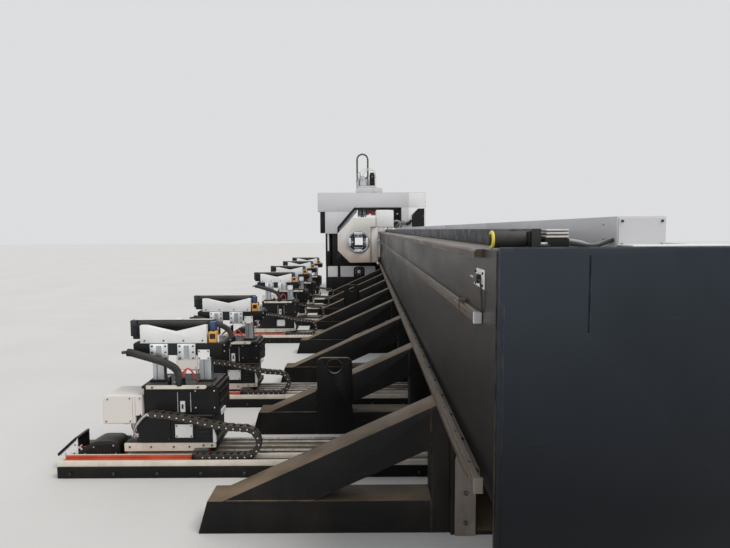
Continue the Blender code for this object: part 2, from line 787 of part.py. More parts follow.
def lift_head_mesh():
    """A cart's lift head: columns, cross body, bearing plates, V-block, roller frame and sensor."""
    half = COLUMN_WIDTH / 2
    deep = COLUMN_DEPTH / 2
    column_y = (COLUMN_BACK - deep, COLUMN_BACK + deep)
    columns = [
        box((x - half, x + half), column_y, (COLUMN_FOOT, CROSS_BOTTOM + SINK))
        for x in (COLUMN_LEFT, COLUMN_RIGHT)
    ]
    cross = box((-CROSS_LEFT, CROSS_RIGHT), (-CROSS_FRONT, CROSS_BACK), (CROSS_BOTTOM, CROSS_TOP))
    bearings = [
        box(
            (x - BEARING_WIDTH / 2, x + BEARING_WIDTH / 2),
            (-CROSS_FRONT - BEARING_THICKNESS, -CROSS_FRONT + SINK),
            (CROSS_TOP - BEARING_HEIGHT, CROSS_TOP),
        )
        for x in (BEARING_LEFT, BEARING_RIGHT)
    ]
    v_top = CROSS_TOP + V_HEIGHT
    notch_floor = v_top - V_NOTCH_DEPTH
    v_outline = [
        (-V_HALF_WIDTH, CROSS_TOP - SINK),
        (V_HALF_WIDTH, CROSS_TOP - SINK),
        (V_HALF_WIDTH, v_top),
        (V_NOTCH_HALF_WIDTH, v_top),
        (0.0, notch_floor),
        (-V_NOTCH_HALF_WIDTH, v_top),
        (-V_HALF_WIDTH, v_top),
    ]
    v_front = -CROSS_FRONT + SINK
    v_block = prism(v_outline, "Y", (v_front, v_front + V_THICKNESS))
    block_half = ROLLER_RADIUS + SINK
    roller_z = CROSS_TOP + ROLLER_RISE
    frame_y = (ROLLER_BACK - block_half, ROLLER_BACK + block_half)
    beam_top = roller_z - ROLLER_RADIUS - WORKING_GAP
    beam = box((-ROLLER_LEFT, ROLLER_RIGHT), frame_y, (CROSS_TOP - SINK, beam_top))
    blocks = [
        box((x, x + ROLLER_BLOCK), frame_y, (CROSS_TOP, roller_z + ROLLER_RADIUS))
        for x in (-ROLLER_LEFT, ROLLER_RIGHT - ROLLER_BLOCK)
    ]
    roller = drum(
        "X",
        (ROLLER_BACK, roller_z),
        (-ROLLER_LEFT + SINK, ROLLER_RIGHT - SINK),
        ROLLER_RADIUS,
        steps=16,
    )
    sensor = box(
        (SENSOR_OFFSET - SENSOR_WIDTH / 2, SENSOR_OFFSET + SENSOR_WIDTH / 2),
        (v_front, v_front + SENSOR_WIDTH),
        (CROSS_TOP - SINK, CROSS_TOP + SENSOR_HEIGHT),
    )
    return shape_of([cross, *columns, *bearings, v_block, beam, *blocks, roller, sensor])


def chain_mesh():
    """A cart's energy chain: a level run, a bend and a lower run, waisted where its links meet."""
    lower_z = BASE_HEIGHT + SEAT_GAP + CHAIN_HEIGHT / 2
    bend_top = CHAIN_TOP - CHAIN_SAG
    radius = (bend_top - lower_z) / 2
    upper_length = CHAIN_BEND_CENTRE - CHAIN_START
    bend_length = math.pi * radius
    lower_length = CHAIN_BEND_CENTRE - CHAIN_LOWER_END

    def place(distance):
        if distance <= upper_length:
            share = distance / upper_length
            drop = CHAIN_SAG * (1 - math.cos(math.pi * share)) / 2
            return Vector((CHAIN_START + distance, 0, CHAIN_TOP - drop))
        if distance <= upper_length + bend_length:
            angle = (distance - upper_length) / radius
            return Vector(
                (CHAIN_BEND_CENTRE + radius * math.sin(angle), 0, lower_z + radius + radius * math.cos(angle))
            )
        return Vector((CHAIN_BEND_CENTRE - (distance - upper_length - bend_length), 0, lower_z))

    links = round((upper_length + bend_length + lower_length) / CHAIN_PITCH)
    pitch = (upper_length + bend_length + lower_length) / links
    inset = 1 - CHAIN_JOINT_INSET / (CHAIN_WIDTH / 2)
    path = []
    rolls = []
    for n in range(links):
        path += [place(pitch * (n + 0.0)), place(pitch * (n + 0.18)), place(pitch * (n + 0.82))]
        rolls += [(inset, 1.0), (1.0, 1.0), (1.0, 1.0)]
    path.append(place(pitch * links))
    rolls.append((inset, 1.0))
    side = Vector((0, -1, 0))
    mesh = sweep(path, side, (CHAIN_WIDTH / 2, CHAIN_HEIGHT / 2), rolls)
    mesh.transform(Matrix.Translation((0, CHAIN_MIDDLE_Y, 0)))
    return mesh


def build_carts(black, head_finish, chain_finish):
    """The support carts, each in its own bay: beam, sliding carriage, lift head and energy chain."""
    base = base_beam_mesh()
    carriage = carriage_mesh()
    head = lift_head_mesh()
    chain = chain_mesh()
    for number, bay in enumerate(CART_BAYS, 1):
        y = FIRST_OUTRIGGER_Y + OUTRIGGER_PITCH * bay + CART_OFFSET
        name = f"cart_{number}"
        piece(f"{name}_base_beam", base, black).location.y = y
        slide = pivot(f"{name}_slide_axis", (SADDLE_CENTRE_X, y, 0))
        piece(f"{name}_carriage", carriage, black, slide)
        lift = pivot(f"{name}_lift_axis", (0, 0, 0), slide)
        piece(f"{name}_lift_head", head, head_finish, lift)
        follow = pivot(f"{name}_chain_axis", (SADDLE_CENTRE_X, y, 0))
        piece(f"{name}_energy_chain", chain, chain_finish, follow)


def rotor_mesh(depth, fixed_jaws=False):
    """A chuck's rotor about Y, its front face at 0: flange, square-set key grooves and a round bore."""
    body = drum("Y", (0, 0), (-SINK, depth), ROTOR_RADIUS - SPIN_GAP)
    flange = drum("Y", (0, 0), (-SEAT_GAP - ROTOR_FLANGE_THICKNESS, -SEAT_GAP), ROTOR_FLANGE)
    face = -SEAT_GAP - ROTOR_FLANGE_THICKNESS
    bore = drum("Y", (0, 0), (face - SINK, depth + SINK), BORE_RADIUS)
    pieces = [body, flange]
    cuts = [bore]
    if fixed_jaws:
        for turn in range(4):
            jaw = jaw_mesh(face + SINK, key=False)
            jaw.transform(Matrix.Rotation(math.pi / 2 * turn, 4, "Y"))
            pieces.append(jaw)
        rotor = shape_of([body, flange], cuts)
        return shape_of([rotor, *pieces[2:]])
    key_half = JAW_KEY_WIDTH / 2 + SEAT_GAP
    groove_depth = face + JAW_KEY_DEPTH + SEAT_GAP
    reach = ROTOR_FLANGE + SINK
    cuts.append(box((-key_half, key_half), (face - SINK, groove_depth), (-reach, reach)))
    cuts.append(box((-reach, reach), (face - SINK, groove_depth), (-key_half, key_half)))
    return shape_of(pieces, cuts)


def jaw_mesh(seat, key=True):
    """The upper jaw of a chuck: a wide block, a narrow nose and a key; its back lies at the seat."""
    front = seat - JAW_THICKNESS
    block = box((-JAW_WIDTH / 2, JAW_WIDTH / 2), (front, seat), (JAW_OPENING + JAW_NOSE, JAW_OUTER))
    nose = box(
        (-JAW_NOSE_WIDTH / 2, JAW_NOSE_WIDTH / 2),
        (front + JAW_THICKNESS / 4, seat),
        (JAW_OPENING, JAW_OPENING + JAW_NOSE + SINK),
    )
    pieces = [block, nose]
    if key:
        half = JAW_KEY_WIDTH / 2
        low = BORE_RADIUS + WORKING_GAP
        pieces.append(box((-half, half), (seat - SINK, seat + JAW_KEY_DEPTH), (low, JAW_OUTER)))
    return shape_of(pieces)


def build_feed_chuck(cover_paint, steel, jaw_finish):
    """The travelling chuck: side-hung carriage, octagonal housing, rotor and four jaws."""
    slide = pivot("feed_slide_axis", (AXIS_X, FEED_FRONT, AXIS_HEIGHT))
    half = OCTAGON_HALF
    cut = half * math.tan(math.pi / 8)
    outline = [
        (OCTAGON_SIDE, -half),
        (OCTAGON_SIDE, half),
        (-cut, half),
        (-half, cut),
        (-half, -cut),
        (-cut, -half),
    ]
    housing = shape_of(
        [prism(outline, "Y", (0, FEED_DEPTH))],
        [drum("Y", (0, 0), (-SINK, FEED_DEPTH + SINK), ROTOR_RADIUS)],
    )
    piece("feed_chuck_housing", housing, cover_paint, slide)

    left = OCTAGON_SIDE + SEAT_GAP
    right = CARRIAGE_RIGHT - AXIS_X
    low = CARRIAGE_BOTTOM - AXIS_HEIGHT
    high = CARRIAGE_TOP - AXIS_HEIGHT
    arm_low = ARM_UNDERSIDE - AXIS_HEIGHT
    arm_right = BED_SIDE + ARM_REACH - AXIS_X
    side = [
        (left, low),
        (right, low),
        (right, arm_low),
        (arm_right, arm_low),
        (arm_right, high),
        (left, high),
    ]
    span = (CARRIAGE_SETBACK, FEED_DEPTH)
    wall = BED_SIDE - AXIS_X
    guide_half = GUIDE_HEIGHT / 2
    middle_z = MIDDLE_RAIL_HEIGHT - AXIS_HEIGHT
    head_top = BED_UNDERSIDE + LEDGE_HEIGHT + RAIL_HEAD_HEIGHT + SEAT_GAP - AXIS_HEIGHT
    starts = (CARRIAGE_SETBACK, FEED_DEPTH - GUIDE_LENGTH)
    guides = []
    guide_x = (right - SINK, wall - WORKING_GAP)
    for y in starts:
        run = (y, y + GUIDE_LENGTH)
        guides.append(box(guide_x, run, (middle_z - guide_half, middle_z + guide_half)))
        guides.append(box(guide_x, run, (head_top, head_top + GUIDE_HEIGHT)))
    rail_half = MIDDLE_RAIL_SIZE / 2 + SEAT_GAP
    groove = box(
        (wall - MIDDLE_RAIL_SIZE - 2 * SEAT_GAP, wall),
        (span[0] - SINK, span[1] + SINK),
        (middle_z - rail_half, middle_z + rail_half),
    )
    carriage = shape_of([prism(side, "Y", span), *guides], [groove])
    piece("feed_carriage", carriage, cover_paint, slide)

    spin = pivot("feed_spin_axis", (0, 0, 0), slide)
    piece("feed_rotor", rotor_mesh(FEED_DEPTH), steel, spin)
    seat = -SEAT_GAP - ROTOR_FLANGE_THICKNESS - SEAT_GAP
    jaw = jaw_mesh(seat)
    for index, place in enumerate(("top", "right", "bottom", "left")):
        grip = pivot(f"feed_jaw_axis_{place}", (0, 0, 0), spin)
        made = piece(f"feed_jaw_{place}", jaw, jaw_finish, grip)
        made.rotation_euler.y = math.pi / 2 * index


def build_middle_chuck(black, steel):
    """The fixed chuck in the portal: a dark bearing plate and a rotor with its jaws."""
    left = LEG_LEFT_X + COLUMN_PLATE_WIDTH + MIDDLE_COLUMN_GAP
    right = -MIDDLE_RIGHT
    bottom = BASE_PLINTH_HEIGHT + BASE_BOX_HEIGHT + SEAT_GAP
    shoulder = LEG_BOTTOM - SEAT_GAP
    inside_leg = -LEG_INNER + 2 * LINING_THICKNESS
    outline = [
        (left, bottom),
        (right, bottom),
        (right, MIDDLE_TOP),
        (inside_leg + MIDDLE_CORNER, MIDDLE_TOP),
        (inside_leg, shoulder),
        (left, shoulder),
    ]
    span = (MIDDLE_FRONT, MIDDLE_FRONT + MIDDLE_DEPTH)
    bore = drum("Y", (AXIS_X, AXIS_HEIGHT), (span[0] - SINK, span[1] + SINK), ROTOR_RADIUS)
    piece("middle_chuck_plate", shape_of([prism(outline, "Y", span)], [bore]), black)
    spin = pivot("middle_spin_axis", (AXIS_X, MIDDLE_FRONT + MIDDLE_DEPTH, AXIS_HEIGHT))
    rotor = rotor_mesh(MIDDLE_DEPTH, fixed_jaws=True)
    rotor.transform(Matrix.Rotation(math.pi, 4, "Z"))
    piece("middle_rotor", rotor, steel, spin)


def build_portal(cover_paint, black):
    """The portal's covers round its opening, the lining, the support column and the base."""
    front = PORTAL_FRONT
    span = (front, PORTAL_BACK)
    leg_top = PORTAL_CLEAR_TOP - PORTAL_END_DROP
    lean = (CHAMFER_TOP_INNER - LEG_INNER) / (PORTAL_CLEAR_TOP - CHAMFER_BOTTOM)
    chamfer_split = -LEG_INNER - lean * (leg_top - CHAMFER_BOTTOM)
    beam = [
        (PORTAL_LEFT_X, leg_top),
        (chamfer_split, leg_top),
        (-CHAMFER_TOP_INNER, PORTAL_CLEAR_TOP),
        (PORTAL_RIGHT, PORTAL_CLEAR_TOP),
        (PORTAL_RIGHT, PORTAL_TOP),
        (PORTAL_LEFT_X, PORTAL_TOP),
    ]
    reach = RAM_SIZE / 2 + CROSS_TRAVEL + WORKING_GAP
    slot = box(
        (RAM_CENTRE_X - reach, RAM_CENTRE_X + reach),
        (HEAD_Y - SLOT_WIDTH / 2, HEAD_Y + SLOT_WIDTH / 2),
        (PORTAL_CLEAR_TOP - SINK, PORTAL_TOP + SINK),
    )
    piece("portal_beam", shape_of([prism(beam, "Y", span)], [slot]), cover_paint)

    top = leg_top - SEAT_GAP
    leg = [
        (LEG_LEFT_X, LEG_BOTTOM),
        (-LEG_INNER, LEG_BOTTOM),
        (-LEG_INNER, CHAMFER_BOTTOM),
        (chamfer_split, top),
        (LEG_LEFT_X, top),
    ]
    piece("portal_left_leg", prism(leg, "Y", span), cover_paint)

    foot = BED_TOP + SEAT_GAP
    side_top = foot + SIDE_BOX_TOP
    side_low = foot + SIDE_BOX_BOTTOM
    width = SIDE_BOX_RIGHT - SIDE_BOX_LEFT
    side_box = [
        (SIDE_BOX_LEFT, side_low),
        (SIDE_BOX_RIGHT, side_low),
        (SIDE_BOX_RIGHT, side_top),
        (SIDE_BOX_LEFT + width / 2, side_top),
        (SIDE_BOX_LEFT, side_top - width / 2),
    ]
    right_leg = shape_of(
        [
            box((RIGHT_LEG_INNER, PORTAL_RIGHT), span, (foot, PORTAL_CLEAR_TOP - SEAT_GAP)),
            prism(side_box, "Y", (front - SIDE_BOX_PROUD, front + SINK)),
        ]
    )
    piece("portal_right_leg", right_leg, cover_paint)

    inner = LINING_THICKNESS
    clear = PORTAL_CLEAR_TOP - SEAT_GAP
    right = RIGHT_LEG_INNER - SEAT_GAP
    lining = [
        (-LEG_INNER + SEAT_GAP, CHAMFER_BOTTOM),
        (-CHAMFER_TOP_INNER + SEAT_GAP, clear),
        (right, clear),
        (right, clear - LINING_DROP),
        (right - inner, clear - LINING_DROP),
        (right - inner, clear - inner),
        (-CHAMFER_TOP_INNER + inner / 2, clear - inner),
        (-LEG_INNER + inner + SEAT_GAP, CHAMFER_BOTTOM - inner / 4),
    ]
    piece("portal_lining", prism(lining, "Y", (front + SEAT_GAP, front + LINING_DEPTH)), black)

    column = box(
        (LEG_LEFT_X, LEG_LEFT_X + COLUMN_PLATE_WIDTH),
        (front + COLUMN_PLATE_SETBACK, PORTAL_BACK),
        (BASE_PLINTH_HEIGHT + BASE_BOX_HEIGHT + SEAT_GAP, LEG_BOTTOM - SEAT_GAP),
    )
    piece("portal_column", column, black)

    base_front = front + BASE_SETBACK
    base_right = PEDESTAL_SIDE - SEAT_GAP
    box_low = BASE_PLINTH_HEIGHT - SINK
    box_top = BASE_PLINTH_HEIGHT + BASE_BOX_HEIGHT
    wide_left = -BASE_BOX_LEFT + BASE_BOX_WIDTH + BASE_BOX_SPACE
    wide_right = wide_left + BASE_BOX_WIDE
    hub = (AXIS_X, BASE_PLINTH_HEIGHT + BASE_BOX_HEIGHT / 2)
    base = shape_of(
        [
            box((LEG_LEFT_X, base_right), (base_front, PORTAL_BACK), (0, BASE_PLINTH_HEIGHT)),
            box((LEG_LEFT_X, base_right), (base_front + BASE_SETBACK, PORTAL_BACK), (box_low, box_top)),
            box(
                (-BASE_BOX_LEFT, -BASE_BOX_LEFT + BASE_BOX_WIDTH),
                (base_front, PORTAL_BACK - SINK),
                (box_low, box_top),
            ),
            box((wide_left, wide_right), (base_front, PORTAL_BACK - SINK), (box_low, box_top)),
            drum("Y", hub, (base_front - FLANGE_PROUD, PORTAL_BACK - BASE_SETBACK), FLANGE_RADIUS, steps=24),
            drum("Y", hub, (base_front - 2 * FLANGE_PROUD, base_front), HUB_RADIUS, steps=16),
        ]
    )
    piece("portal_base", base, black)


def build_cutting_axes(cover_paint, motor_finish, steel, chain_finish):
    """The cross slide on the portal with its motor and cable arch, the ram and the cutting head."""
    seat = PORTAL_TOP + SEAT_GAP
    slide = pivot("cross_slide_axis", (RAM_CENTRE_X, HEAD_Y, seat))
    deep = SLIDE_DEPTH / 2
    left = -TOWER_WIDTH / 2
    right = left + SLIDE_LENGTH
    hump = [
        (left, 0.0),
        (right, 0.0),
        (right, SLIDE_HEIGHT - SLIDE_SLANT),
        (right - SLIDE_SLANT * 2, SLIDE_HEIGHT),
        (left, SLIDE_HEIGHT),
    ]
    tower = box(
        (left, -left),
        (-TOWER_WIDTH / 2, TOWER_WIDTH / 2),
        (SLIDE_HEIGHT - SINK, SLIDE_HEIGHT + TOWER_HEIGHT),
    )
    pole_half = POLE_SIZE / 2
    pole_y = (ARCH_BACK - pole_half, ARCH_BACK + pole_half)
    foot_y = (ARCH_BACK - POLE_SIZE, ARCH_BACK + POLE_SIZE)
    foot = box((-POLE_OFFSET - POLE_SIZE, left + SINK), foot_y, (0, POLE_FOOT))
    pole_x = (-POLE_OFFSET - pole_half, -POLE_OFFSET + pole_half)
    pole = box(pole_x, pole_y, (POLE_FOOT - SINK, POLE_HEIGHT))
    ram_half = RAM_SIZE / 2
    guide = ram_half + SEAT_GAP
    bore = box((-guide, guide), (-guide, guide), (-SINK, SLIDE_HEIGHT + TOWER_HEIGHT + SINK))
    body = shape_of([prism(hump, "Y", (-deep, deep)), tower, foot, pole], [bore])
    piece("cross_slide", body, cover_paint, slide)

    # The motor stands on the flat part of the slide, clear of its slanted end.
    motor_half = MOTOR_SIZE / 2
    motor_low = SLIDE_HEIGHT + SEAT_GAP
    motor = shape_of(
        [
            box(
                (MOTOR_OFFSET - motor_half, MOTOR_OFFSET + motor_half),
                (-motor_half, motor_half),
                (motor_low, motor_low + MOTOR_HEIGHT * 0.45),
            ),
            drum(
                "Z",
                (MOTOR_OFFSET, 0),
                (motor_low + MOTOR_HEIGHT * 0.45 - SINK, motor_low + MOTOR_HEIGHT),
                motor_half - SINK,
                steps=20,
            ),
        ]
    )
    piece("z_motor", motor, motor_finish, slide)

    lift = pivot("ram_axis", (0, 0, 0), slide)
    ram = box((-ram_half, ram_half), (-ram_half, ram_half), (RAM_BOTTOM - seat, RAM_TOP - seat))
    piece("z_ram", ram, cover_paint, lift)

    head_top = RAM_BOTTOM - seat - SEAT_GAP
    head_low = head_top - HEAD_HEIGHT
    half_width = HEAD_WIDTH / 2
    half_depth = HEAD_DEPTH / 2
    barrel_low = head_low - NOZZLE_LENGTH
    head = shape_of(
        [
            box((-half_width, half_width), (-half_depth, half_depth), (head_low, head_top)),
            drum("Z", (0, 0), (barrel_low, head_low + SINK), NOZZLE_RADIUS, steps=20),
            drum(
                "Z",
                (0, 0),
                (barrel_low - NOZZLE_RADIUS * 2, barrel_low + SINK),
                NOZZLE_TIP,
                NOZZLE_NECK,
                steps=20,
            ),
        ]
    )
    piece("cutting_head", head, steel, lift)

    arch_left = -POLE_OFFSET
    radius = ARCH_WIDTH / 2
    rise = SLIDE_HEIGHT + ARCH_HEIGHT - radius
    path = [Vector((arch_left, 0, POLE_HEIGHT + SEAT_GAP))]
    for a, b in arc((arch_left + radius, rise), radius, 180, 0, ARCH_STEPS):
        path.append(Vector((a, 0, b)))
    path.append(Vector((arch_left + ARCH_WIDTH, 0, SLIDE_HEIGHT + SEAT_GAP)))
    arch = sweep(path, Vector((0, -1, 0)), (ARCH_SECTION / 2, ARCH_SECTION / 2))
    arch.transform(Matrix.Translation((0, ARCH_BACK, 0)))
    piece("cable_arch", arch, chain_finish, slide)


def clear_scene():
    """Takes out whatever the scene starts with."""
    for item in list(bpy.data.objects):
        bpy.data.objects.remove(item)


def main():
    clear_scene()
    bed_black = material("bed_black", (0.028, 0.027, 0.028), 0.55)
    end_blue = material("end_plate_blue", (0.020, 0.024, 0.034), 0.5)
    rail_steel = material("rail_steel", (0.16, 0.12, 0.09), 0.45, 0.6)
    cover_white = material("cover_white", (0.80, 0.79, 0.76), 0.4)
    satin_black = material("satin_black", (0.018, 0.018, 0.019), 0.45)
    head_grey = material("head_grey", (0.30, 0.31, 0.32), 0.4, 0.5)
    chain_black = material("chain_black", (0.020, 0.016, 0.014), 0.6)
    chuck_steel = material("chuck_steel", (0.10, 0.11, 0.12), 0.35, 0.8)
    jaw_white = material("jaw_white", (0.75, 0.76, 0.76), 0.35, 0.2)
    build_bed(bed_black, end_blue)
    build_rails(rail_steel, cover_white, satin_black)
    build_outriggers(bed_black)
    build_carts(satin_black, head_grey, chain_black)
    build_feed_chuck(cover_white, chuck_steel, jaw_white)
    build_middle_chuck(satin_black, chuck_steel)
    build_portal(cover_white, satin_black)
    build_cutting_axes(cover_white, satin_black, chuck_steel, chain_black)


main()
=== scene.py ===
import json
import math

import bmesh
import bpy
from mathutils import Matrix, Vector


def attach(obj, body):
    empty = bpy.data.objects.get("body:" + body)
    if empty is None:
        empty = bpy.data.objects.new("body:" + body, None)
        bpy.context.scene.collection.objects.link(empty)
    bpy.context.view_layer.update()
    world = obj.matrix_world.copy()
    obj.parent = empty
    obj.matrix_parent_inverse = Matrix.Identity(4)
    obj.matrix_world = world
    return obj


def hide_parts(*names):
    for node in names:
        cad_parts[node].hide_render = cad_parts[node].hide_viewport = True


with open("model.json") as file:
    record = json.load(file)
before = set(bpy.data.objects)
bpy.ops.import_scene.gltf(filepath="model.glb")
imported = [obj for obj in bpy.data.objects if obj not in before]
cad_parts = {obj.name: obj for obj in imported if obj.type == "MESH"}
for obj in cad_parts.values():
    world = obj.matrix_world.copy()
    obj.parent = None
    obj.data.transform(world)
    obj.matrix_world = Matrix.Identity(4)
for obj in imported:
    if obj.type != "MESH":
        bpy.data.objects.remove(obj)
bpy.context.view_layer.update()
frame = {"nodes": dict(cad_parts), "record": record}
print("frame loaded,", len(frame["nodes"]), "solids")


# material helpers: every finish is layers of noise on Object coordinates

def addNode(tree, kind, settings=None, **inputs):
    node = tree.nodes.new(kind)
    for key, value in (settings or {}).items():
        setattr(node, key, value)
    for key, value in inputs.items():
        node.inputs[key.replace("_", " ")].default_value = value
    return node


def noiseOf(tree, scale, detail=4.0, stretch=(1, 1, 1), rough=0.55):
    place = addNode(tree, "ShaderNodeTexCoord")
    turn = addNode(tree, "ShaderNodeMapping")
    turn.inputs["Scale"].default_value = stretch
    noise = addNode(tree, "ShaderNodeTexNoise", Scale=scale, Detail=detail, Roughness=rough)
    tree.links.new(place.outputs["Object"], turn.inputs["Vector"])
    tree.links.new(turn.outputs["Vector"], noise.inputs["Vector"])
    return noise.outputs["Fac"]


def rangeOf(tree, source, low, high, toLow=0.0, toHigh=1.0):
    remap = addNode(tree, "ShaderNodeMapRange")
    for key, value in (("From Min", low), ("From Max", high), ("To Min", toLow), ("To Max", toHigh)):
        remap.inputs[key].default_value = value
    tree.links.new(source, remap.inputs["Value"])
    return remap.outputs["Result"]


def mixOf(tree, share, first, second):
    mix = addNode(tree, "ShaderNodeMix", {"data_type": "RGBA"})
    for socket, value in ((mix.inputs[6], first), (mix.inputs[7], second)):
        if isinstance(value, tuple):
            socket.default_value = *value, 1.0
        else:
            tree.links.new(value, socket)
    tree.links.new(share, mix.inputs[0])
    return mix.outputs[2]


def timesOf(tree, first, second):
    node = addNode(tree, "ShaderNodeMath", {"operation": "MULTIPLY", "use_clamp": True})
    for socket, value in ((node.inputs[0], first), (node.inputs[1], second)):
        if isinstance(value, float):
            socket.default_value = value
        else:
            tree.links.new(value, socket)
    return node.outputs[0]


def edgeMask(tree, radius):  # 1 where two faces meet, 0 on the flat
    bevel = addNode(tree, "ShaderNodeBevel", {"samples": 4}, Radius=radius)
    shape = addNode(tree, "ShaderNodeNewGeometry")
    dot = addNode(tree, "ShaderNodeVectorMath", {"operation": "DOT_PRODUCT"})
    tree.links.new(bevel.outputs["Normal"], dot.inputs[0])
    tree.links.new(shape.outputs["Normal"], dot.inputs[1])
    return rangeOf(tree, dot.outputs["Value"], 0.995, 0.86)


def faceMask(tree, axis, low, high):  # 1 on faces that look along one axis
    shape = addNode(tree, "ShaderNodeNewGeometry")
    split = addNode(tree, "ShaderNodeSeparateXYZ")
    tree.links.new(shape.outputs["Normal"], split.inputs[0])
    return rangeOf(tree, split.outputs[axis], low, high)


def finishOf(name, color, second, patch=1.5, stain=None, scuff=None, edge=None, dustAndHighlight=None, paintedLightByHeight=None,
        rough=(0.4, 0.6), metal=0.0, shine=0.5, bump=0.06, grain=260.0, stretch=(1, 1, 1)):
    made = bpy.data.materials.new(name)
    made.use_nodes = True
    tree = made.node_tree
    shader = tree.nodes["Principled BSDF"]
    shade = mixOf(tree, rangeOf(tree, noiseOf(tree, patch, 5.0, stretch), 0.36, 0.64), color, second)
    if stain:  # broad, soft stains and runs
        tone, share, scale = (*stain, 2.2)[:3]
        runs = rangeOf(tree, noiseOf(tree, scale, 7.0, (1, 1, 0.35), 0.7), 0.5, 0.72)
        shade = mixOf(tree, timesOf(tree, runs, share), shade, tone)
    if scuff:  # thin, long scratches
        tone, share = scuff
        thin = rangeOf(tree, noiseOf(tree, 38.0, 6.0, (0.12, 1.0, 1.0), 0.75), 0.62, 0.7)
        rare = rangeOf(tree, noiseOf(tree, 2.6, 2.0), 0.48, 0.62)
        shade = mixOf(tree, timesOf(tree, timesOf(tree, thin, rare), share), shade, tone)
    if edge:  # wear where two faces meet; on the rails the pale edges are painted highlight
        tone, share, width = (*edge, 0.005)[:3]
        worn = timesOf(tree, edgeMask(tree, width), rangeOf(tree, noiseOf(tree, 16.0, 4.0), 0.4, 0.6))
        shade = mixOf(tree, timesOf(tree, worn, share), shade, tone)
    if dustAndHighlight:  # dust on what faces up; on the rails it is painted highlight on the top faces
        tone, share = dustAndHighlight
        cover = rangeOf(tree, noiseOf(tree, 3.5, 6.0), 0.3, 0.7, 0.35, 1.0)
        lying = timesOf(tree, faceMask(tree, "Z", 0.35, 0.9), cover)
        shade = mixOf(tree, timesOf(tree, lying, share), shade, tone)
    if paintedLightByHeight:  # painted light and shade: a slow change of colour between two heights
        tone, heights = paintedLightByHeight
        split = addNode(tree, "ShaderNodeSeparateXYZ")
        tree.links.new(addNode(tree, "ShaderNodeTexCoord").outputs["Object"], split.inputs[0])
        shade = mixOf(tree, rangeOf(tree, split.outputs["Z"], *heights), shade, tone)
    tree.links.new(shade, shader.inputs["Base Color"])
    tree.links.new(rangeOf(tree, noiseOf(tree, patch * 6, 5.0, stretch), 0.3, 0.7, *rough),
            shader.inputs["Roughness"])
    shader.inputs["Metallic"].default_value = metal
    shader.inputs["Specular IOR Level"].default_value = shine
    ridges = addNode(tree, "ShaderNodeBump", Strength=bump, Distance=0.0015)
    tree.links.new(noiseOf(tree, grain, 3.0, stretch), ridges.inputs["Height"])
    tree.links.new(ridges.outputs["Normal"], shader.inputs["Normal"])
    return made
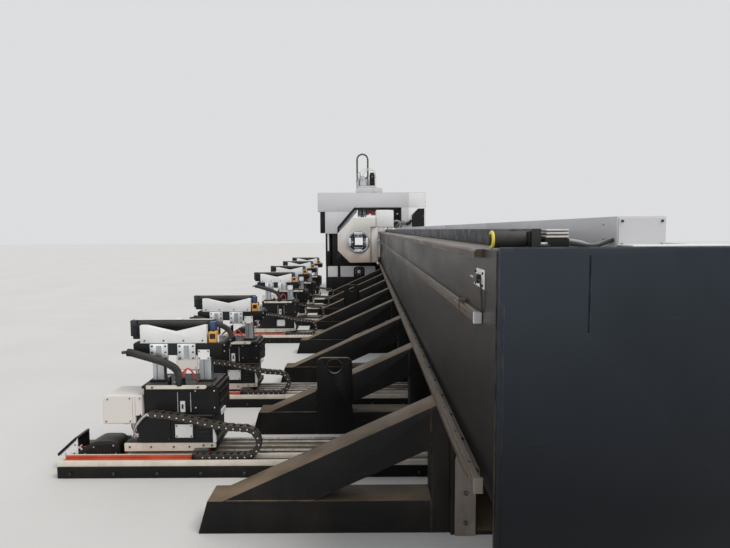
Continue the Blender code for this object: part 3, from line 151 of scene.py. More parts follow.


# what each finish can say: stain and edge are colour, share and size; scuff and dust are colour and share;
# the colour by height, painted light and shade, is a colour and the two heights between which it comes in
finishes = {
    "bedBlack": dict(color=(0.0048, 0.0045, 0.0046), second=(0.0095, 0.0086, 0.008), patch=0.9, shine=0.16,
        stain=((0.04, 0.03, 0.022), 0.35), scuff=((0.13, 0.11, 0.09), 0.3),
        edge=((0.16, 0.115, 0.07), 0.6), dustAndHighlight=((0.215, 0.155, 0.098), 0.85), rough=(0.38, 0.6), bump=0.1,
        grain=140.0),
    # the bed's side: its black goes darker towards the bottom as painted shade
    "sideBlack": dict(color=(0.029, 0.025, 0.0215), second=(0.042, 0.035, 0.029), patch=0.5, shine=0.2,
        stretch=(1, 0.22, 1), paintedLightByHeight=((0.0068, 0.0062, 0.006), (1.56, 0.92)),
        stain=((0.105, 0.07, 0.042), 0.55, 1.3), scuff=((0.17, 0.14, 0.11), 0.4),
        edge=((0.2, 0.15, 0.1), 0.5), dustAndHighlight=((0.2, 0.16, 0.12), 0.6), rough=(0.3, 0.52), bump=0.1,
        grain=120.0),
    # near end plate: its blue goes darker towards the bottom as painted shade
    "endBlue": dict(color=(0.0185, 0.025, 0.033), second=(0.027, 0.035, 0.044), patch=0.9, shine=0.16,
        paintedLightByHeight=((0.0052, 0.006, 0.0085), (1.62, 0.8)), stain=((0.0115, 0.014, 0.019), 0.5),
        scuff=((0.1, 0.11, 0.12), 0.3), edge=((0.19, 0.19, 0.2), 0.4), rough=(0.36, 0.55), bump=0.08,
        grain=160.0),
    # rails: dark rust, with painted highlight on their top faces and edges
    "railRust": dict(color=(0.06, 0.038, 0.024), second=(0.105, 0.074, 0.052), patch=4.0, metal=0.3,
        stain=((0.17, 0.1, 0.055), 0.45, 6.0), edge=((0.4, 0.34, 0.27), 0.85, 0.006),
        dustAndHighlight=((0.3, 0.255, 0.205), 0.75), rough=(0.38, 0.6), bump=0.15, grain=90.0, stretch=(1, 0.1, 1)),
    "groundSteel": dict(color=(0.36, 0.33, 0.29), second=(0.5, 0.47, 0.43), patch=3.0, metal=0.75,
        stain=((0.2, 0.14, 0.09), 0.35, 6.0), rough=(0.25, 0.42), stretch=(6, 0.2, 6), bump=0.06),
    # on the portal's skins, beam and left leg this grey is the white cover paint darkened as painted shade
    "portalGrey": dict(color=(0.575, 0.565, 0.575), second=(0.525, 0.515, 0.525), patch=0.6,
        stain=((0.4, 0.38, 0.36), 0.18), edge=((0.38, 0.37, 0.36), 0.35), dustAndHighlight=((0.42, 0.39, 0.35), 0.3),
        rough=(0.32, 0.48), bump=0.05, grain=420.0),
    "mintWhite": dict(color=(0.56, 0.62, 0.58), second=(0.5, 0.56, 0.53), patch=2.0,
        edge=((0.4, 0.42, 0.4), 0.4), rough=(0.32, 0.46), bump=0.05, grain=420.0),
    "deepRed": dict(color=(0.22, 0.04, 0.04), second=(0.3, 0.06, 0.055), patch=20.0, rough=(0.4, 0.55)),
    "coverWhite": dict(color=(0.76, 0.76, 0.755), second=(0.71, 0.705, 0.7), patch=0.8,
        stain=((0.55, 0.52, 0.47), 0.16), scuff=((0.42, 0.4, 0.37), 0.2), edge=((0.5, 0.47, 0.42), 0.35),
        dustAndHighlight=((0.62, 0.59, 0.54), 0.35), rough=(0.3, 0.46), bump=0.05, grain=420.0),
    "coverCream": dict(color=(0.7, 0.655, 0.605), second=(0.65, 0.605, 0.555), patch=0.8,
        stain=((0.52, 0.42, 0.34), 0.2), scuff=((0.42, 0.37, 0.32), 0.2), edge=((0.48, 0.41, 0.34), 0.4),
        rough=(0.32, 0.5), bump=0.05, grain=420.0),
    # the chuck's white paint with a painted warm reflection of the floor: a cream tint, going brown towards
    # the bottom
    "chuckWhiteWithPaintedReflection": dict(color=(0.72, 0.68, 0.635), second=(0.66, 0.62, 0.575), patch=0.8,
        paintedLightByHeight=((0.62, 0.5, 0.41), (1.5, 0.86)), stain=((0.52, 0.42, 0.34), 0.2),
        edge=((0.48, 0.41, 0.34), 0.4), rough=(0.32, 0.5), bump=0.05, grain=420.0),
    "plateWhite": dict(color=(0.8, 0.795, 0.775), second=(0.74, 0.735, 0.715), patch=4.0,
        stain=((0.5, 0.46, 0.4), 0.22, 9.0), scuff=((0.4, 0.38, 0.35), 0.35),
        edge=((0.4, 0.37, 0.33), 0.5, 0.003), rough=(0.34, 0.5), bump=0.08, grain=380.0),
    "stripCream": dict(color=(0.7, 0.64, 0.54), second=(0.6, 0.54, 0.45), patch=6.0,
        stain=((0.3, 0.2, 0.13), 0.35, 14.0), edge=((0.3, 0.22, 0.15), 0.55, 0.003), rough=(0.4, 0.6),
        bump=0.1, grain=300.0),
    "satinBlack": dict(color=(0.0048, 0.0047, 0.005), second=(0.009, 0.0086, 0.0088), patch=2.5,
        shine=0.24, scuff=((0.1, 0.095, 0.09), 0.3), edge=((0.11, 0.1, 0.09), 0.45, 0.003),
        dustAndHighlight=((0.14, 0.115, 0.09), 0.45), rough=(0.36, 0.58), bump=0.09, grain=340.0),
    "rubberBlack": dict(color=(0.018, 0.017, 0.016), second=(0.034, 0.031, 0.028), patch=5.0,
        dustAndHighlight=((0.11, 0.09, 0.07), 0.4), rough=(0.55, 0.75), bump=0.15, grain=220.0),
    "profileGrey": dict(color=(0.43, 0.45, 0.46), second=(0.55, 0.57, 0.58), patch=3.0, metal=0.7,
        stain=((0.25, 0.25, 0.25), 0.3), rough=(0.28, 0.45), stretch=(8, 8, 0.3)),
    "plateSilver": dict(color=(0.6, 0.61, 0.61), second=(0.7, 0.71, 0.71), patch=7.0, metal=0.55,
        scuff=((0.3, 0.3, 0.3), 0.4), edge=((0.85, 0.85, 0.85), 0.5, 0.002), rough=(0.26, 0.44),
        stretch=(4, 4, 0.4)),
    "chainBlack": dict(color=(0.019, 0.0145, 0.0115), second=(0.036, 0.026, 0.019), patch=9.0,
        scuff=((0.12, 0.1, 0.08), 0.3), dustAndHighlight=((0.11, 0.085, 0.06), 0.5), rough=(0.42, 0.6), bump=0.1,
        grain=240.0),
    "pinWhite": dict(color=(0.78, 0.74, 0.67), second=(0.66, 0.61, 0.53), patch=60.0, rough=(0.4, 0.55)),
    "screwDark": dict(color=(0.05, 0.05, 0.05), second=(0.1, 0.095, 0.09), patch=40.0, metal=0.8,
        rough=(0.3, 0.45)),
    "screwBright": dict(color=(0.55, 0.54, 0.52), second=(0.68, 0.67, 0.65), patch=40.0, metal=0.9,
        rough=(0.22, 0.38)),
    "trayRed": dict(color=(0.52, 0.075, 0.03), second=(0.62, 0.125, 0.05), patch=6.0,
        stain=((0.3, 0.06, 0.03), 0.4, 12.0), rough=(0.5, 0.7)),
    "sensorOrange": dict(color=(0.74, 0.36, 0.055), second=(0.66, 0.29, 0.04), patch=18.0,
        edge=((0.86, 0.55, 0.2), 0.5, 0.002), rough=(0.35, 0.5)),
    "deepBlue": dict(color=(0.03, 0.065, 0.155), second=(0.045, 0.085, 0.19), patch=12.0,
        rough=(0.35, 0.5)),
    "wireRed": dict(color=(0.46, 0.035, 0.025), second=(0.55, 0.06, 0.04), patch=30.0, rough=(0.4, 0.5)),
    "wireWhite": dict(color=(0.68, 0.66, 0.61), second=(0.56, 0.53, 0.47), patch=30.0, rough=(0.42, 0.55)),
    "wireBrown": dict(color=(0.22, 0.085, 0.045), second=(0.33, 0.15, 0.09), patch=30.0,
        rough=(0.42, 0.55)),
    "hoseGrey": dict(color=(0.27, 0.285, 0.295), second=(0.37, 0.385, 0.395), patch=14.0,
        rough=(0.45, 0.6)),
    "headCyan": dict(color=(0.66, 0.86, 0.9), second=(0.76, 0.9, 0.93), patch=4.0,
        edge=((0.85, 0.88, 0.88), 0.4), rough=(0.25, 0.4)),
    "ringGrey": dict(color=(0.3, 0.31, 0.32), second=(0.42, 0.43, 0.44), patch=6.0, metal=0.75,
        edge=((0.6, 0.6, 0.6), 0.5), rough=(0.25, 0.42)),
    "boreBlack": dict(color=(0.01, 0.011, 0.013), second=(0.02, 0.022, 0.026), patch=8.0, metal=0.4,
        rough=(0.3, 0.45)),
    "jawWhite": dict(color=(0.78, 0.785, 0.78), second=(0.7, 0.7, 0.69), patch=9.0, metal=0.15,
        edge=((0.45, 0.45, 0.45), 0.4, 0.003), rough=(0.3, 0.45)),
    "brassYellow": dict(color=(0.72, 0.62, 0.06), second=(0.62, 0.52, 0.05), patch=20.0, rough=(0.35, 0.5)),
    "dustySteel": dict(color=(0.115, 0.095, 0.078), second=(0.165, 0.14, 0.115), patch=4.0,
        stain=((0.05, 0.04, 0.033), 0.6, 7.0), edge=((0.3, 0.24, 0.18), 0.6), rough=(0.45, 0.65),
        bump=0.12, grain=160.0),
    "linerGrey": dict(color=(0.2, 0.22, 0.24), second=(0.29, 0.31, 0.33), patch=5.0, rough=(0.4, 0.55)),
}
finish = {name: finishOf(name, **look) for name, look in finishes.items()}
print("finishes made:", len(finish))

slotFinish = {"bed_black": "bedBlack", "end_plate_blue": "endBlue", "rail_steel": "railRust",
        "cover_white": "coverWhite", "satin_black": "satinBlack", "head_grey": "profileGrey",
        "chain_black": "chainBlack", "chuck_steel": "ringGrey", "jaw_white": "jawWhite"}
nodeSlot = {part["node"]: part["material_slot"] for part in frame["record"]["subparts"]}
# the portal's beam and left leg take the grey: their white cover paint darkened as painted shade
ownFinish = {"bed_beam": "sideBlack", "portal_beam": "portalGrey", "portal_left_leg": "portalGrey"}
for nodeName, node in frame["nodes"].items():
    node.data.materials.clear()
    node.data.materials.append(finish[ownFinish.get(nodeName, slotFinish[nodeSlot[nodeName]])])


# shape helpers: small meshes are made once, then put into a form, which becomes one piece

def meshFrom(shape):
    bmesh.ops.recalc_face_normals(shape, faces=shape.faces)
    mesh = bpy.data.meshes.new("bit")
    shape.to_mesh(mesh)
    shape.free()
    return mesh


def roundEdges(shape, width, rounds=2, edges=None):
    bmesh.ops.bevel(shape, geom=edges or list(shape.edges), offset=width, offset_type="OFFSET",
            segments=rounds, profile=0.5, affect="EDGES", material=-1, clamp_overlap=True)


def blockMesh(x, y, z, edge=0.0, rounds=2):
    shape = bmesh.new()
    bmesh.ops.create_cube(shape, size=1.0)
    bmesh.ops.scale(shape, vec=(x[1] - x[0], y[1] - y[0], z[1] - z[0]), verts=shape.verts)
    bmesh.ops.translate(shape, vec=((x[0] + x[1]) / 2, (y[0] + y[1]) / 2, (z[0] + z[1]) / 2),
            verts=shape.verts)
    if edge:
        roundEdges(shape, edge, rounds)
    return meshFrom(shape)


def outlineMesh(outline, axis, ends, edge=0.0, rounds=2, holes=()):
    def place(a, b, c):
        return {"X": (c, a, b), "Y": (a, c, b), "Z": (a, b, c)}[axis]

    shape = bmesh.new()
    for loop in (outline, *holes):
        corners = [shape.verts.new(place(a, b, ends[0])) for a, b in loop]
        for first, second in zip(corners[-1:] + corners, corners):
            shape.edges.new((first, second))
    if holes:
        bmesh.ops.triangle_fill(shape, use_beauty=True, use_dissolve=True, edges=shape.edges)
    else:
        bmesh.ops.contextual_create(shape, geom=shape.edges)
    moved = bmesh.ops.extrude_face_region(shape, geom=list(shape.faces))
    verts = [item for item in moved["geom"] if isinstance(item, bmesh.types.BMVert)]
    bmesh.ops.translate(shape, vec=Vector(place(0, 0, ends[1])) - Vector(place(0, 0, ends[0])), verts=verts)
    if edge:
        sharp = [item for item in shape.edges if item.is_manifold and item.calc_face_angle(0) > 0.5]
        roundEdges(shape, edge, rounds, sharp)
    return meshFrom(shape)


def rodMesh(start, end, radius, sides=16, edge=0.0, tip=None):
    start, end = Vector(start), Vector(end)
    run = end - start
    shape = bmesh.new()
    bmesh.ops.create_cone(shape, cap_ends=True, cap_tris=False, segments=sides, radius1=radius,
            radius2=radius if tip is None else tip, depth=run.length)
    if edge:
        rims = [item for item in shape.edges if any(len(face.verts) > 4 for face in item.link_faces)]
        roundEdges(shape, edge, 2, rims)
    turn = run.to_track_quat("Z", "Y").to_matrix().to_4x4()
    bmesh.ops.transform(shape, matrix=Matrix.Translation((start + end) / 2) @ turn, verts=shape.verts)
    return meshFrom(shape)


def ringMesh(start, end, outer, inner, sides=48, edge=0.0):  # a short tube, spun from its section
    start, end = Vector(start), Vector(end)
    run = end - start
    shape = bmesh.new()
    corners = boxOutline(inner, outer, 0, run.length)
    loop = [shape.verts.new((a, 0, b)) for a, b in corners]
    for first, second in zip(loop, loop[1:] + loop[:1]):
        shape.edges.new((first, second))
    if edge:
        bmesh.ops.bevel(shape, geom=list(shape.verts), offset=edge, offset_type="OFFSET", segments=2,
                profile=0.5, affect="VERTICES", material=-1)
    bmesh.ops.spin(shape, geom=list(shape.verts) + list(shape.edges), cent=(0, 0, 0), axis=(0, 0, 1),
            angle=math.tau, steps=sides, use_merge=True)
    turn = run.to_track_quat("Z", "Y").to_matrix().to_4x4()
    bmesh.ops.transform(shape, matrix=Matrix.Translation(start) @ turn, verts=shape.verts)
    return meshFrom(shape)


def pathThrough(points, count):  # an even, smooth path through a few points
    points = [Vector(point) for point in points]
    points = [2 * points[0] - points[1]] + points + [2 * points[-1] - points[-2]]
    spans = len(points) - 3
    path = []
    for step in range(count):
        place = step / (count - 1) * spans
        index = min(int(place), spans - 1)
        t = place - index
        a, b, c, d = points[index:index + 4]
        path.append(0.5 * (2 * b + (c - a) * t + (2 * a - 5 * b + 4 * c - d) * t * t
                + (3 * b - a - 3 * c + d) * t ** 3))
    return path


def tubeMesh(path, radius, sides=8, ribs=0.0):  # ribs is how much every second ring is thinner
    curve = bpy.data.curves.new("run", "CURVE")
    curve.dimensions = "3D"
    curve.bevel_depth = radius
    curve.bevel_resolution = max(1, sides // 2 - 1)
    curve.use_fill_caps = True
    spline = curve.splines.new("POLY")
    spline.points.add(len(path) - 1)
    for index, point in enumerate(path):
        spline.points[index].co = *point, 1.0
        spline.points[index].radius = 1.0 - ribs * (index % 2)
    holder = bpy.data.objects.new("run", curve)
    mesh = bpy.data.meshes.new_from_object(holder)
    bpy.data.objects.remove(holder)
    bpy.data.curves.remove(curve)
    return mesh


screwBits = {}


def screwMesh(radius):  # a socket head screw along +Z, its seat at the origin
    if radius not in screwBits:
        shape = bmesh.new()
        bmesh.ops.create_cone(shape, cap_ends=True, segments=12, radius1=radius, radius2=radius,
                depth=radius)
        bmesh.ops.translate(shape, vec=(0, 0, radius / 2), verts=shape.verts)
        top = max(shape.faces, key=lambda face: face.calc_center_median().z)
        roundEdges(shape, radius * 0.18, 1, list(top.edges))
        top = max(shape.faces, key=lambda face: face.calc_center_median().z)
        bmesh.ops.inset_region(shape, faces=[top], thickness=radius * 0.34, depth=0.0)
        bmesh.ops.inset_region(shape, faces=[top], thickness=radius * 0.02, depth=-radius * 0.55)
        screwBits[radius] = meshFrom(shape)
    return screwBits[radius]


def gridOf(xs, y, zs):
    return [(x, y, z) for x in xs for z in zs]


def spanOf(first, second):
    return (min(first, second), max(first, second))


def boxOutline(left, right, low, high):
    return [(left, low), (right, low), (right, high), (left, high)]


def arcOf(centre, radius, first, last, steps):
    angles = [math.radians(first + (last - first) * i / steps) for i in range(steps + 1)]
    return [(centre[0] + radius * math.cos(angle), centre[1] + radius * math.sin(angle))
            for angle in angles]


def circleOf(centre, radius, sides):
    return arcOf(centre, radius, 0, 360, sides)[:-1]


def boltCircle(centre, radius, y, count):  # places in a ring, half a step off the axis
    angles = [math.tau * (i + 0.5) / count for i in range(count)]
    return [(centre[0] + radius * math.cos(angle), y, centre[1] + radius * math.sin(angle))
            for angle in angles]


def beadMesh(start, end, radius):  # a weld bead with its ripples
    length = (Vector(end) - Vector(start)).length
    return tubeMesh(pathThrough([start, end], max(8, int(length / (radius * 1.6)))), radius, 6, 0.22)


class Form:  # bits of mesh with their paints, put together into one piece
    def __init__(self):
        self.shape = bmesh.new()
        self.paints = []
        self.base = None  # where set, it turns and moves what is put in next

    def put(self, mesh, paint, matrix=None):
        for step in (matrix, self.base):
            if step is not None:
                mesh = mesh.copy()
                mesh.transform(step)
        if paint not in self.paints:
            self.paints.append(paint)
        first = len(self.shape.faces)
        self.shape.from_mesh(mesh)
        self.shape.faces.ensure_lookup_table()
        for face in self.shape.faces[first:]:
            face.material_index = self.paints.index(paint)
            face.smooth = True

    def block(self, paint, *size):
        self.put(blockMesh(*size), paint)

    def blocks(self, paint, sizes):
        for size in sizes:
            self.block(paint, *size)

    def outline(self, paint, *size):
        self.put(outlineMesh(*size), paint)

    def rod(self, paint, *size):
        self.put(rodMesh(*size), paint)

    def rods(self, paint, sizes):
        for size in sizes:
            self.rod(paint, *size)

    def ring(self, paint, *size):
        self.put(ringMesh(*size), paint)

    def bead(self, paint, *size):
        self.put(beadMesh(*size), paint)

    def tube(self, paint, path, *size):
        self.put(tubeMesh(path, *size), paint)

    def hose(self, paint, points, count, *size):
        self.tube(paint, pathThrough(points, count), *size)

    def screws(self, paint, radius, places, facing=(0, -1, 0)):
        turn = Vector(facing).to_track_quat("Z", "Y").to_matrix().to_4x4()
        for place in places:
            self.put(screwMesh(radius), paint, Matrix.Translation(place) @ turn)

    def finish(self, name, body, stands=(), slot=None, shift=(0, 0, 0)):
        shape = self.shape.copy()
        bmesh.ops.translate(shape, vec=shift, verts=shape.verts)
        mesh = bpy.data.meshes.new(name)
        shape.to_mesh(mesh)
        shape.free()
        for paint in self.paints:
            mesh.materials.append(finish[paint])
        mesh.set_sharp_from_angle(angle=math.radians(34))
        made = bpy.data.objects.new(name, mesh)
        bpy.context.scene.collection.objects.link(made)
        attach(made, body)
        if stands:
            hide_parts(*stands)


# support carts: each form is made once beside x = 0, then copied to the six places

cartLook = {"saddleCentre": -2.2703, "places": (-5.59, -4.09, -1.09, 0.41, 1.91, 3.41), "baseLeft": -0.77,
        "baseRight": 1.87, "columns": (-0.135, 0.205), "boltPitch": 0.14, "screw": 0.0065}
chainLook = {"start": -0.142, "bend": 0.515, "end": 0.175, "low": 0.1305, "top": 0.432, "sag": 0.102,
        "y": -0.175, "pitch": 0.048, "tall": 0.0205}


def makeCartBase():
    form = Form()
    left, right = cartLook["baseLeft"], cartLook["baseRight"]
    form.blocks("bedBlack", (
        ((left, right), (-0.24, 0.22), (0.0, 0.083), 0.005),
        ((left + 0.004, right - 0.004), (-0.118, 0.218), (0.084, 0.1), 0.003),
    ))
    form.blocks("stripCream", (
        ((left + 0.002, right - 0.002), (-0.2405, -0.226), (0.086, 0.125), 0.002),
        ((left + 0.002, right - 0.002), (-0.131, -0.12), (0.086, 0.125), 0.002),
    ))
    form.block("chainBlack", (left + 0.01, right - 0.01), (-0.2245, -0.1325), (0.084, 0.092), 0.001)
    form.blocks("trayRed", (
        ((left + 0.006, 0.19), (-0.2245, -0.133), (0.0925, 0.099), 0.001),
        ((left + 0.006, 0.19), (-0.1345, -0.1318), (0.099, 0.122), 0.0008),
    ))
    for x in (left + 0.0045, right - 0.0045):  # end plates with their screws
        form.block("satinBlack", (x - 0.0045, x + 0.0045), (-0.232, 0.212), (0.004, 0.08), 0.002)
    form.screws("screwDark", 0.009, [(left - 0.0003, y, 0.042) for y in (-0.2, -0.07, 0.06, 0.18)],
            (-1, 0, 0))
    lows = [(left + 0.09 + 0.3 * i, -0.2403, 0.035) for i in range(int((right - left - 0.1) / 0.3) + 1)]
    form.screws("screwDark", 0.01, lows)
    for y in (-0.07, 0.15):  # guide rails with a waist, their screws and end caps
        section = [(-0.016, 0.101), (0.016, 0.101), (0.016, 0.108), (0.01, 0.113), (0.01, 0.119),
                (0.016, 0.124), (0.016, 0.1295), (-0.016, 0.1295), (-0.016, 0.124), (-0.01, 0.119),
                (-0.01, 0.113), (-0.016, 0.108)]
        form.outline("groundSteel", [(y + a, b) for a, b in section], "X", (-0.35, right - 0.05), 0.0008, 1)
        pitch = cartLook["boltPitch"]
        for i in range(int((right - 0.1 + 0.29) / pitch) + 1):
            x = -0.29 + pitch * i
            form.rod("screwDark", (x, y, 0.127), (x, y, 0.1299), 0.0075, 8)
        form.block("trayRed", (-0.358, -0.351), (y - 0.017, y + 0.017), (0.1, 0.131), 0.001)
    for x in (-0.345, right - 0.06):  # rubber stops on posts
        form.block("satinBlack", (x - 0.012, x + 0.012), (0.02, 0.075), (0.1, 0.138), 0.003)
    form.block("groundSteel", (-0.33, right - 0.12), (0.032, 0.052), (0.1, 0.118), 0.001)
    for i in range(14):
        x = -0.22 + 0.142 * i
        form.rod("screwBright", (x, 0.042, 0.115), (x, 0.042, 0.1205), 0.006, 8)
    return form


def makeCartStop():
    form = Form()
    wedge = [(-0.835, 0.102), (-0.7, 0.102), (-0.7, 0.226), (-0.715, 0.23), (-0.835, 0.121)]
    for y, paint in ((-0.086, "plateWhite"), (0.079, "satinBlack")):
        form.outline(paint, wedge, "Y", (y - 0.005, y + 0.005), 0.0015, 1)
    slope = [(-0.842, 0.106), (-0.833, 0.102), (-0.706, 0.2165), (-0.6985, 0.2305), (-0.715, 0.2345),
            (-0.842, 0.12)]
    form.outline("satinBlack", slope, "Y", (-0.098, 0.091), 0.0015, 1)
    form.screws("screwDark", 0.005,
            [(-0.725, -0.091, 0.118), (-0.785, -0.091, 0.113), (-0.716, -0.091, 0.18)])
    form.block("satinBlack", (-0.72, -0.7), (-0.078, 0.071), (0.1005, 0.118), 0.002, 1)
    return form


def makeCartDrive():  # humped cover over the drive at the cart's left
    form = Form()
    hump = [(-0.68, 0.1002), (-0.68, 0.136), (-0.65, 0.16), (-0.605, 0.188), (-0.57, 0.207),
            (-0.545, 0.213), (-0.45, 0.213), (-0.425, 0.207), (-0.405, 0.19), (-0.393, 0.16),
            (-0.39, 0.1002)]
    form.outline("satinBlack", hump, "Y", (-0.105, 0.062), 0.006, 2)
    inner = [(-0.655, 0.112), (-0.655, 0.137), (-0.565, 0.191), (-0.44, 0.198), (-0.412, 0.17),
            (-0.408, 0.112)]
    form.outline("satinBlack", inner, "Y", (-0.1095, -0.1045), 0.0018, 1)
    form.screws("screwBright", 0.005,
            [(-0.64, -0.1095, 0.124), (-0.42, -0.1095, 0.124), (-0.575, -0.1095, 0.172),
            (-0.436, -0.1095, 0.182)])
    for i in range(5):  # vents
        x = -0.55 + 0.022 * i
        form.block("boreBlack", (x, x + 0.008), (-0.1102, -0.1088), (0.125, 0.165), 0.001, 1)
    form.hose("wireWhite", [(-0.676, -0.03, 0.12), (-0.7, -0.03, 0.118), (-0.72, -0.02, 0.135),
            (-0.735, 0.03, 0.13)], 16, 0.007, 8)
    form.hose("wireRed", [(-0.676, 0.0, 0.125), (-0.7, 0.0, 0.13), (-0.715, 0.01, 0.12),
            (-0.73, 0.045, 0.112)], 16, 0.005, 8)
    form.block("satinBlack", (-0.56, -0.4), (0.066, 0.117), (0.1003, 0.172), 0.004)
    form.rod("groundSteel", (-0.39, 0.092, 0.137), (-0.372, 0.092, 0.137), 0.014, 12, 0.002)
    return form


def makeCarriage():
    form = Form()
    small = cartLook["screw"]
    for y in (-0.07, 0.15):  # runner blocks on the rails
        for x in (-0.24, 0.17):
            form.block("profileGrey", (x - 0.06, x + 0.06), (y - 0.027, y + 0.027), (0.1315, 0.1585), 0.002)
            for end in (-1, 1):
                form.block("trayRed", (x + end * 0.0645 - 0.0045, x + end * 0.0645 + 0.0045),
                        (y - 0.025, y + 0.025), (0.1315, 0.156), 0.0015, 1)
    # saddle plate with its cream strip
    form.block("satinBlack", (-0.35, 0.3), (-0.118, 0.2), (0.16, 0.2045), 0.003)
    lip = [(-0.349, 0.1475), (0.135, 0.1475), (0.15, 0.168), (0.299, 0.172), (0.299, 0.2047),
            (-0.349, 0.2047)]
    form.outline("stripCream", lip, "Y", (-0.13, -0.1185), 0.0018, 1)
    form.screws("screwDark", small, [(x, -0.13, 0.179) for x in (-0.31, -0.16, 0.0, 0.11)]
            + [(0.21, -0.13, 0.189), (0.27, -0.13, 0.189)])
    # lower body with its white square plate and gussets
    wells = [boxOutline(x - 0.042, x + 0.042, -0.012, 0.052) for x in cartLook["columns"]]
    form.outline("satinBlack", boxOutline(-0.26, 0.275, -0.12, 0.2), "Z", (0.2052, 0.3995), 0.003, 1, wells)
    form.block("satinBlack", (-0.245, -0.02), (-0.1245, -0.1195), (0.222, 0.386), 0.002, 1)
    form.screws("screwDark", small, gridOf((-0.234, -0.031), -0.1245, (0.233, 0.375)))
    form.block("satinBlack", (0.0, 0.15), (-0.1235, -0.1195), (0.222, 0.352), 0.0015, 1)
    form.block("plateWhite", (0.013, 0.136), (-0.1285, -0.1236), (0.2432, 0.3385), 0.0015, 1)
    form.screws("screwDark", small * 0.8, gridOf((0.024, 0.125), -0.1285, (0.254, 0.328)))
    form.outline("plateWhite", [(0.2755, 0.2055), (0.299, 0.2055), (0.299, 0.25), (0.2755, 0.312)], "Y",
            (-0.122, -0.108), 0.0015, 1)
    form.block("satinBlack", (0.165, 0.26), (-0.124, -0.1195), (0.23, 0.375), 0.0015, 1)
    for i in range(4):
        form.block("boreBlack", (0.178, 0.247), (-0.1255, -0.1235), (0.25 + 0.03 * i, 0.258 + 0.03 * i),
                0.001, 1)
    # upper body, light stripes, latch
    form.outline("satinBlack", boxOutline(-0.21, 0.32, -0.1, 0.2), "Z", (0.4003, 0.5997), 0.003, 1, wells)
    for x in (0.028, 0.12):
        form.block("wireWhite", (x - 0.002, x + 0.002), (-0.1025, -0.0985), (0.42, 0.562), 0.0008, 1)
    form.block("plateWhite", (0.046, 0.081), (-0.107, -0.0995), (0.42, 0.5), 0.002, 1)
    form.block("boreBlack", (0.057, 0.07), (-0.1095, -0.1065), (0.445, 0.478), 0.001, 1)
    form.block("satinBlack", (0.145, 0.3), (-0.104, -0.0995), (0.44, 0.585), 0.0015, 1)
    form.screws("screwBright", small * 0.85, gridOf((0.156, 0.289), -0.104, (0.452, 0.573)))
    form.block("plateWhite", (0.3205, 0.333), (-0.07, 0.03), (0.39, 0.425), 0.002, 1)
    for z in (0.46, 0.53):  # ribs on the right side
        form.block("satinBlack", (0.3195, 0.3255), (-0.08, 0.18), (z, z + 0.03), 0.002, 1)
    # top plate: light strip along its front, rounded right end, screws
    form.outline("satinBlack", boxOutline(-0.21, 0.298, -0.136, 0.2), "Z", (0.6002, 0.6185), 0.0025, 1,
            wells)
    for x in cartLook["columns"]:  # collars round the columns
        hole = boxOutline(x - 0.0415, x + 0.0415, -0.0115, 0.0515)
        form.outline("satinBlack", boxOutline(x - 0.058, x + 0.058, -0.028, 0.068), "Z", (0.6187, 0.631),
                0.0015, 1, [hole])
    strip = [(-0.174, 0.5985), (0.235, 0.5985), (0.2445, 0.604), (0.248, 0.6115), (0.2445, 0.619),
            (0.235, 0.624), (-0.174, 0.624)]
    form.outline("stripCream", strip, "Y", (-0.1495, -0.1365), 0.0018, 1)
    form.screws("screwDark", small, [(-0.13, -0.1495, 0.6115), (0.19, -0.1495, 0.6115)])
    form.screws("screwDark", small,
            [(x, y, 0.6185) for x in (-0.19, 0.045, 0.275) for y in (-0.115, 0.175)], (0, 0, 1))
    # fittings on the top plate
    form.rod("boreBlack", (-0.03, -0.085, 0.6187), (-0.03, -0.085, 0.668), 0.014, 12, 0.002)
    form.rod("screwBright", (-0.03, -0.085, 0.668), (-0.03, -0.085, 0.678), 0.009, 12, 0.001)
    form.block("boreBlack", (0.012, 0.064), (-0.102, -0.062), (0.6187, 0.655), 0.003)
    form.rod("ringGrey", (0.02, -0.104, 0.637), (0.02, -0.118, 0.637), 0.008, 10, 0.001)
    return form


def makeMotorCover():
    form = Form()
    face = [(-0.494, 0.342), (-0.494, 0.51), (-0.486, 0.534), (-0.462, 0.5485), (-0.2115, 0.5485),
            (-0.2115, 0.401), (-0.262, 0.401), (-0.262, 0.342)]
    form.outline("coverCream", face, "Y", (-0.122, 0.118), 0.007, 3)
    lid = [(-0.487, 0.35), (-0.487, 0.508), (-0.479, 0.528), (-0.457, 0.541), (-0.284, 0.541),
            (-0.284, 0.35)]
    form.outline("coverCream", lid, "Y", (-0.1265, -0.1215), 0.0018, 1)
    form.blocks("coverCream", (
        ((-0.262, -0.215), (-0.1262, -0.1215), (0.404, 0.541), 0.0018, 1),
        ((-0.2805, -0.2655), (-0.1245, -0.1205), (0.35, 0.541), 0.001, 1),
    ))
    form.screws("screwDark", 0.005,
            [(-0.47, -0.1265, 0.364), (-0.3, -0.1265, 0.364), (-0.456, -0.1265, 0.522),
            (-0.3, -0.1265, 0.527), (-0.229, -0.1265, 0.41), (-0.229, -0.1265, 0.527)])
    for i in range(6):  # louvres on the left side
        z = 0.4 + 0.018 * i
        form.block("boreBlack", (-0.4962, -0.4935), (-0.06, 0.06), (z, z + 0.007), 0.001, 1)
    form.rod("ringGrey", (-0.36, -0.02, 0.343), (-0.36, -0.02, 0.318), 0.042, 20, 0.004)
    # wire bundle under the cover
    paints = "wireBrown", "wireWhite", "wireBrown", "rubberBlack", "wireWhite", "wireRed"
    for index, paint in enumerate(paints):
        x = -0.318 + 0.013 * index
        form.hose(paint, [(x, -0.05 - 0.006 * index, 0.34), (x + 0.006, -0.08, 0.315),
                (x + 0.03, -0.1, 0.27), (x + 0.02 - 0.006 * index, -0.092, 0.235),
                (-0.263, -0.085 + 0.007 * index, 0.214)], 22, 0.0048, 6)
    form.block("boreBlack", (-0.272, -0.2615), (-0.095, -0.03), (0.2065, 0.24), 0.002, 1)
    return form


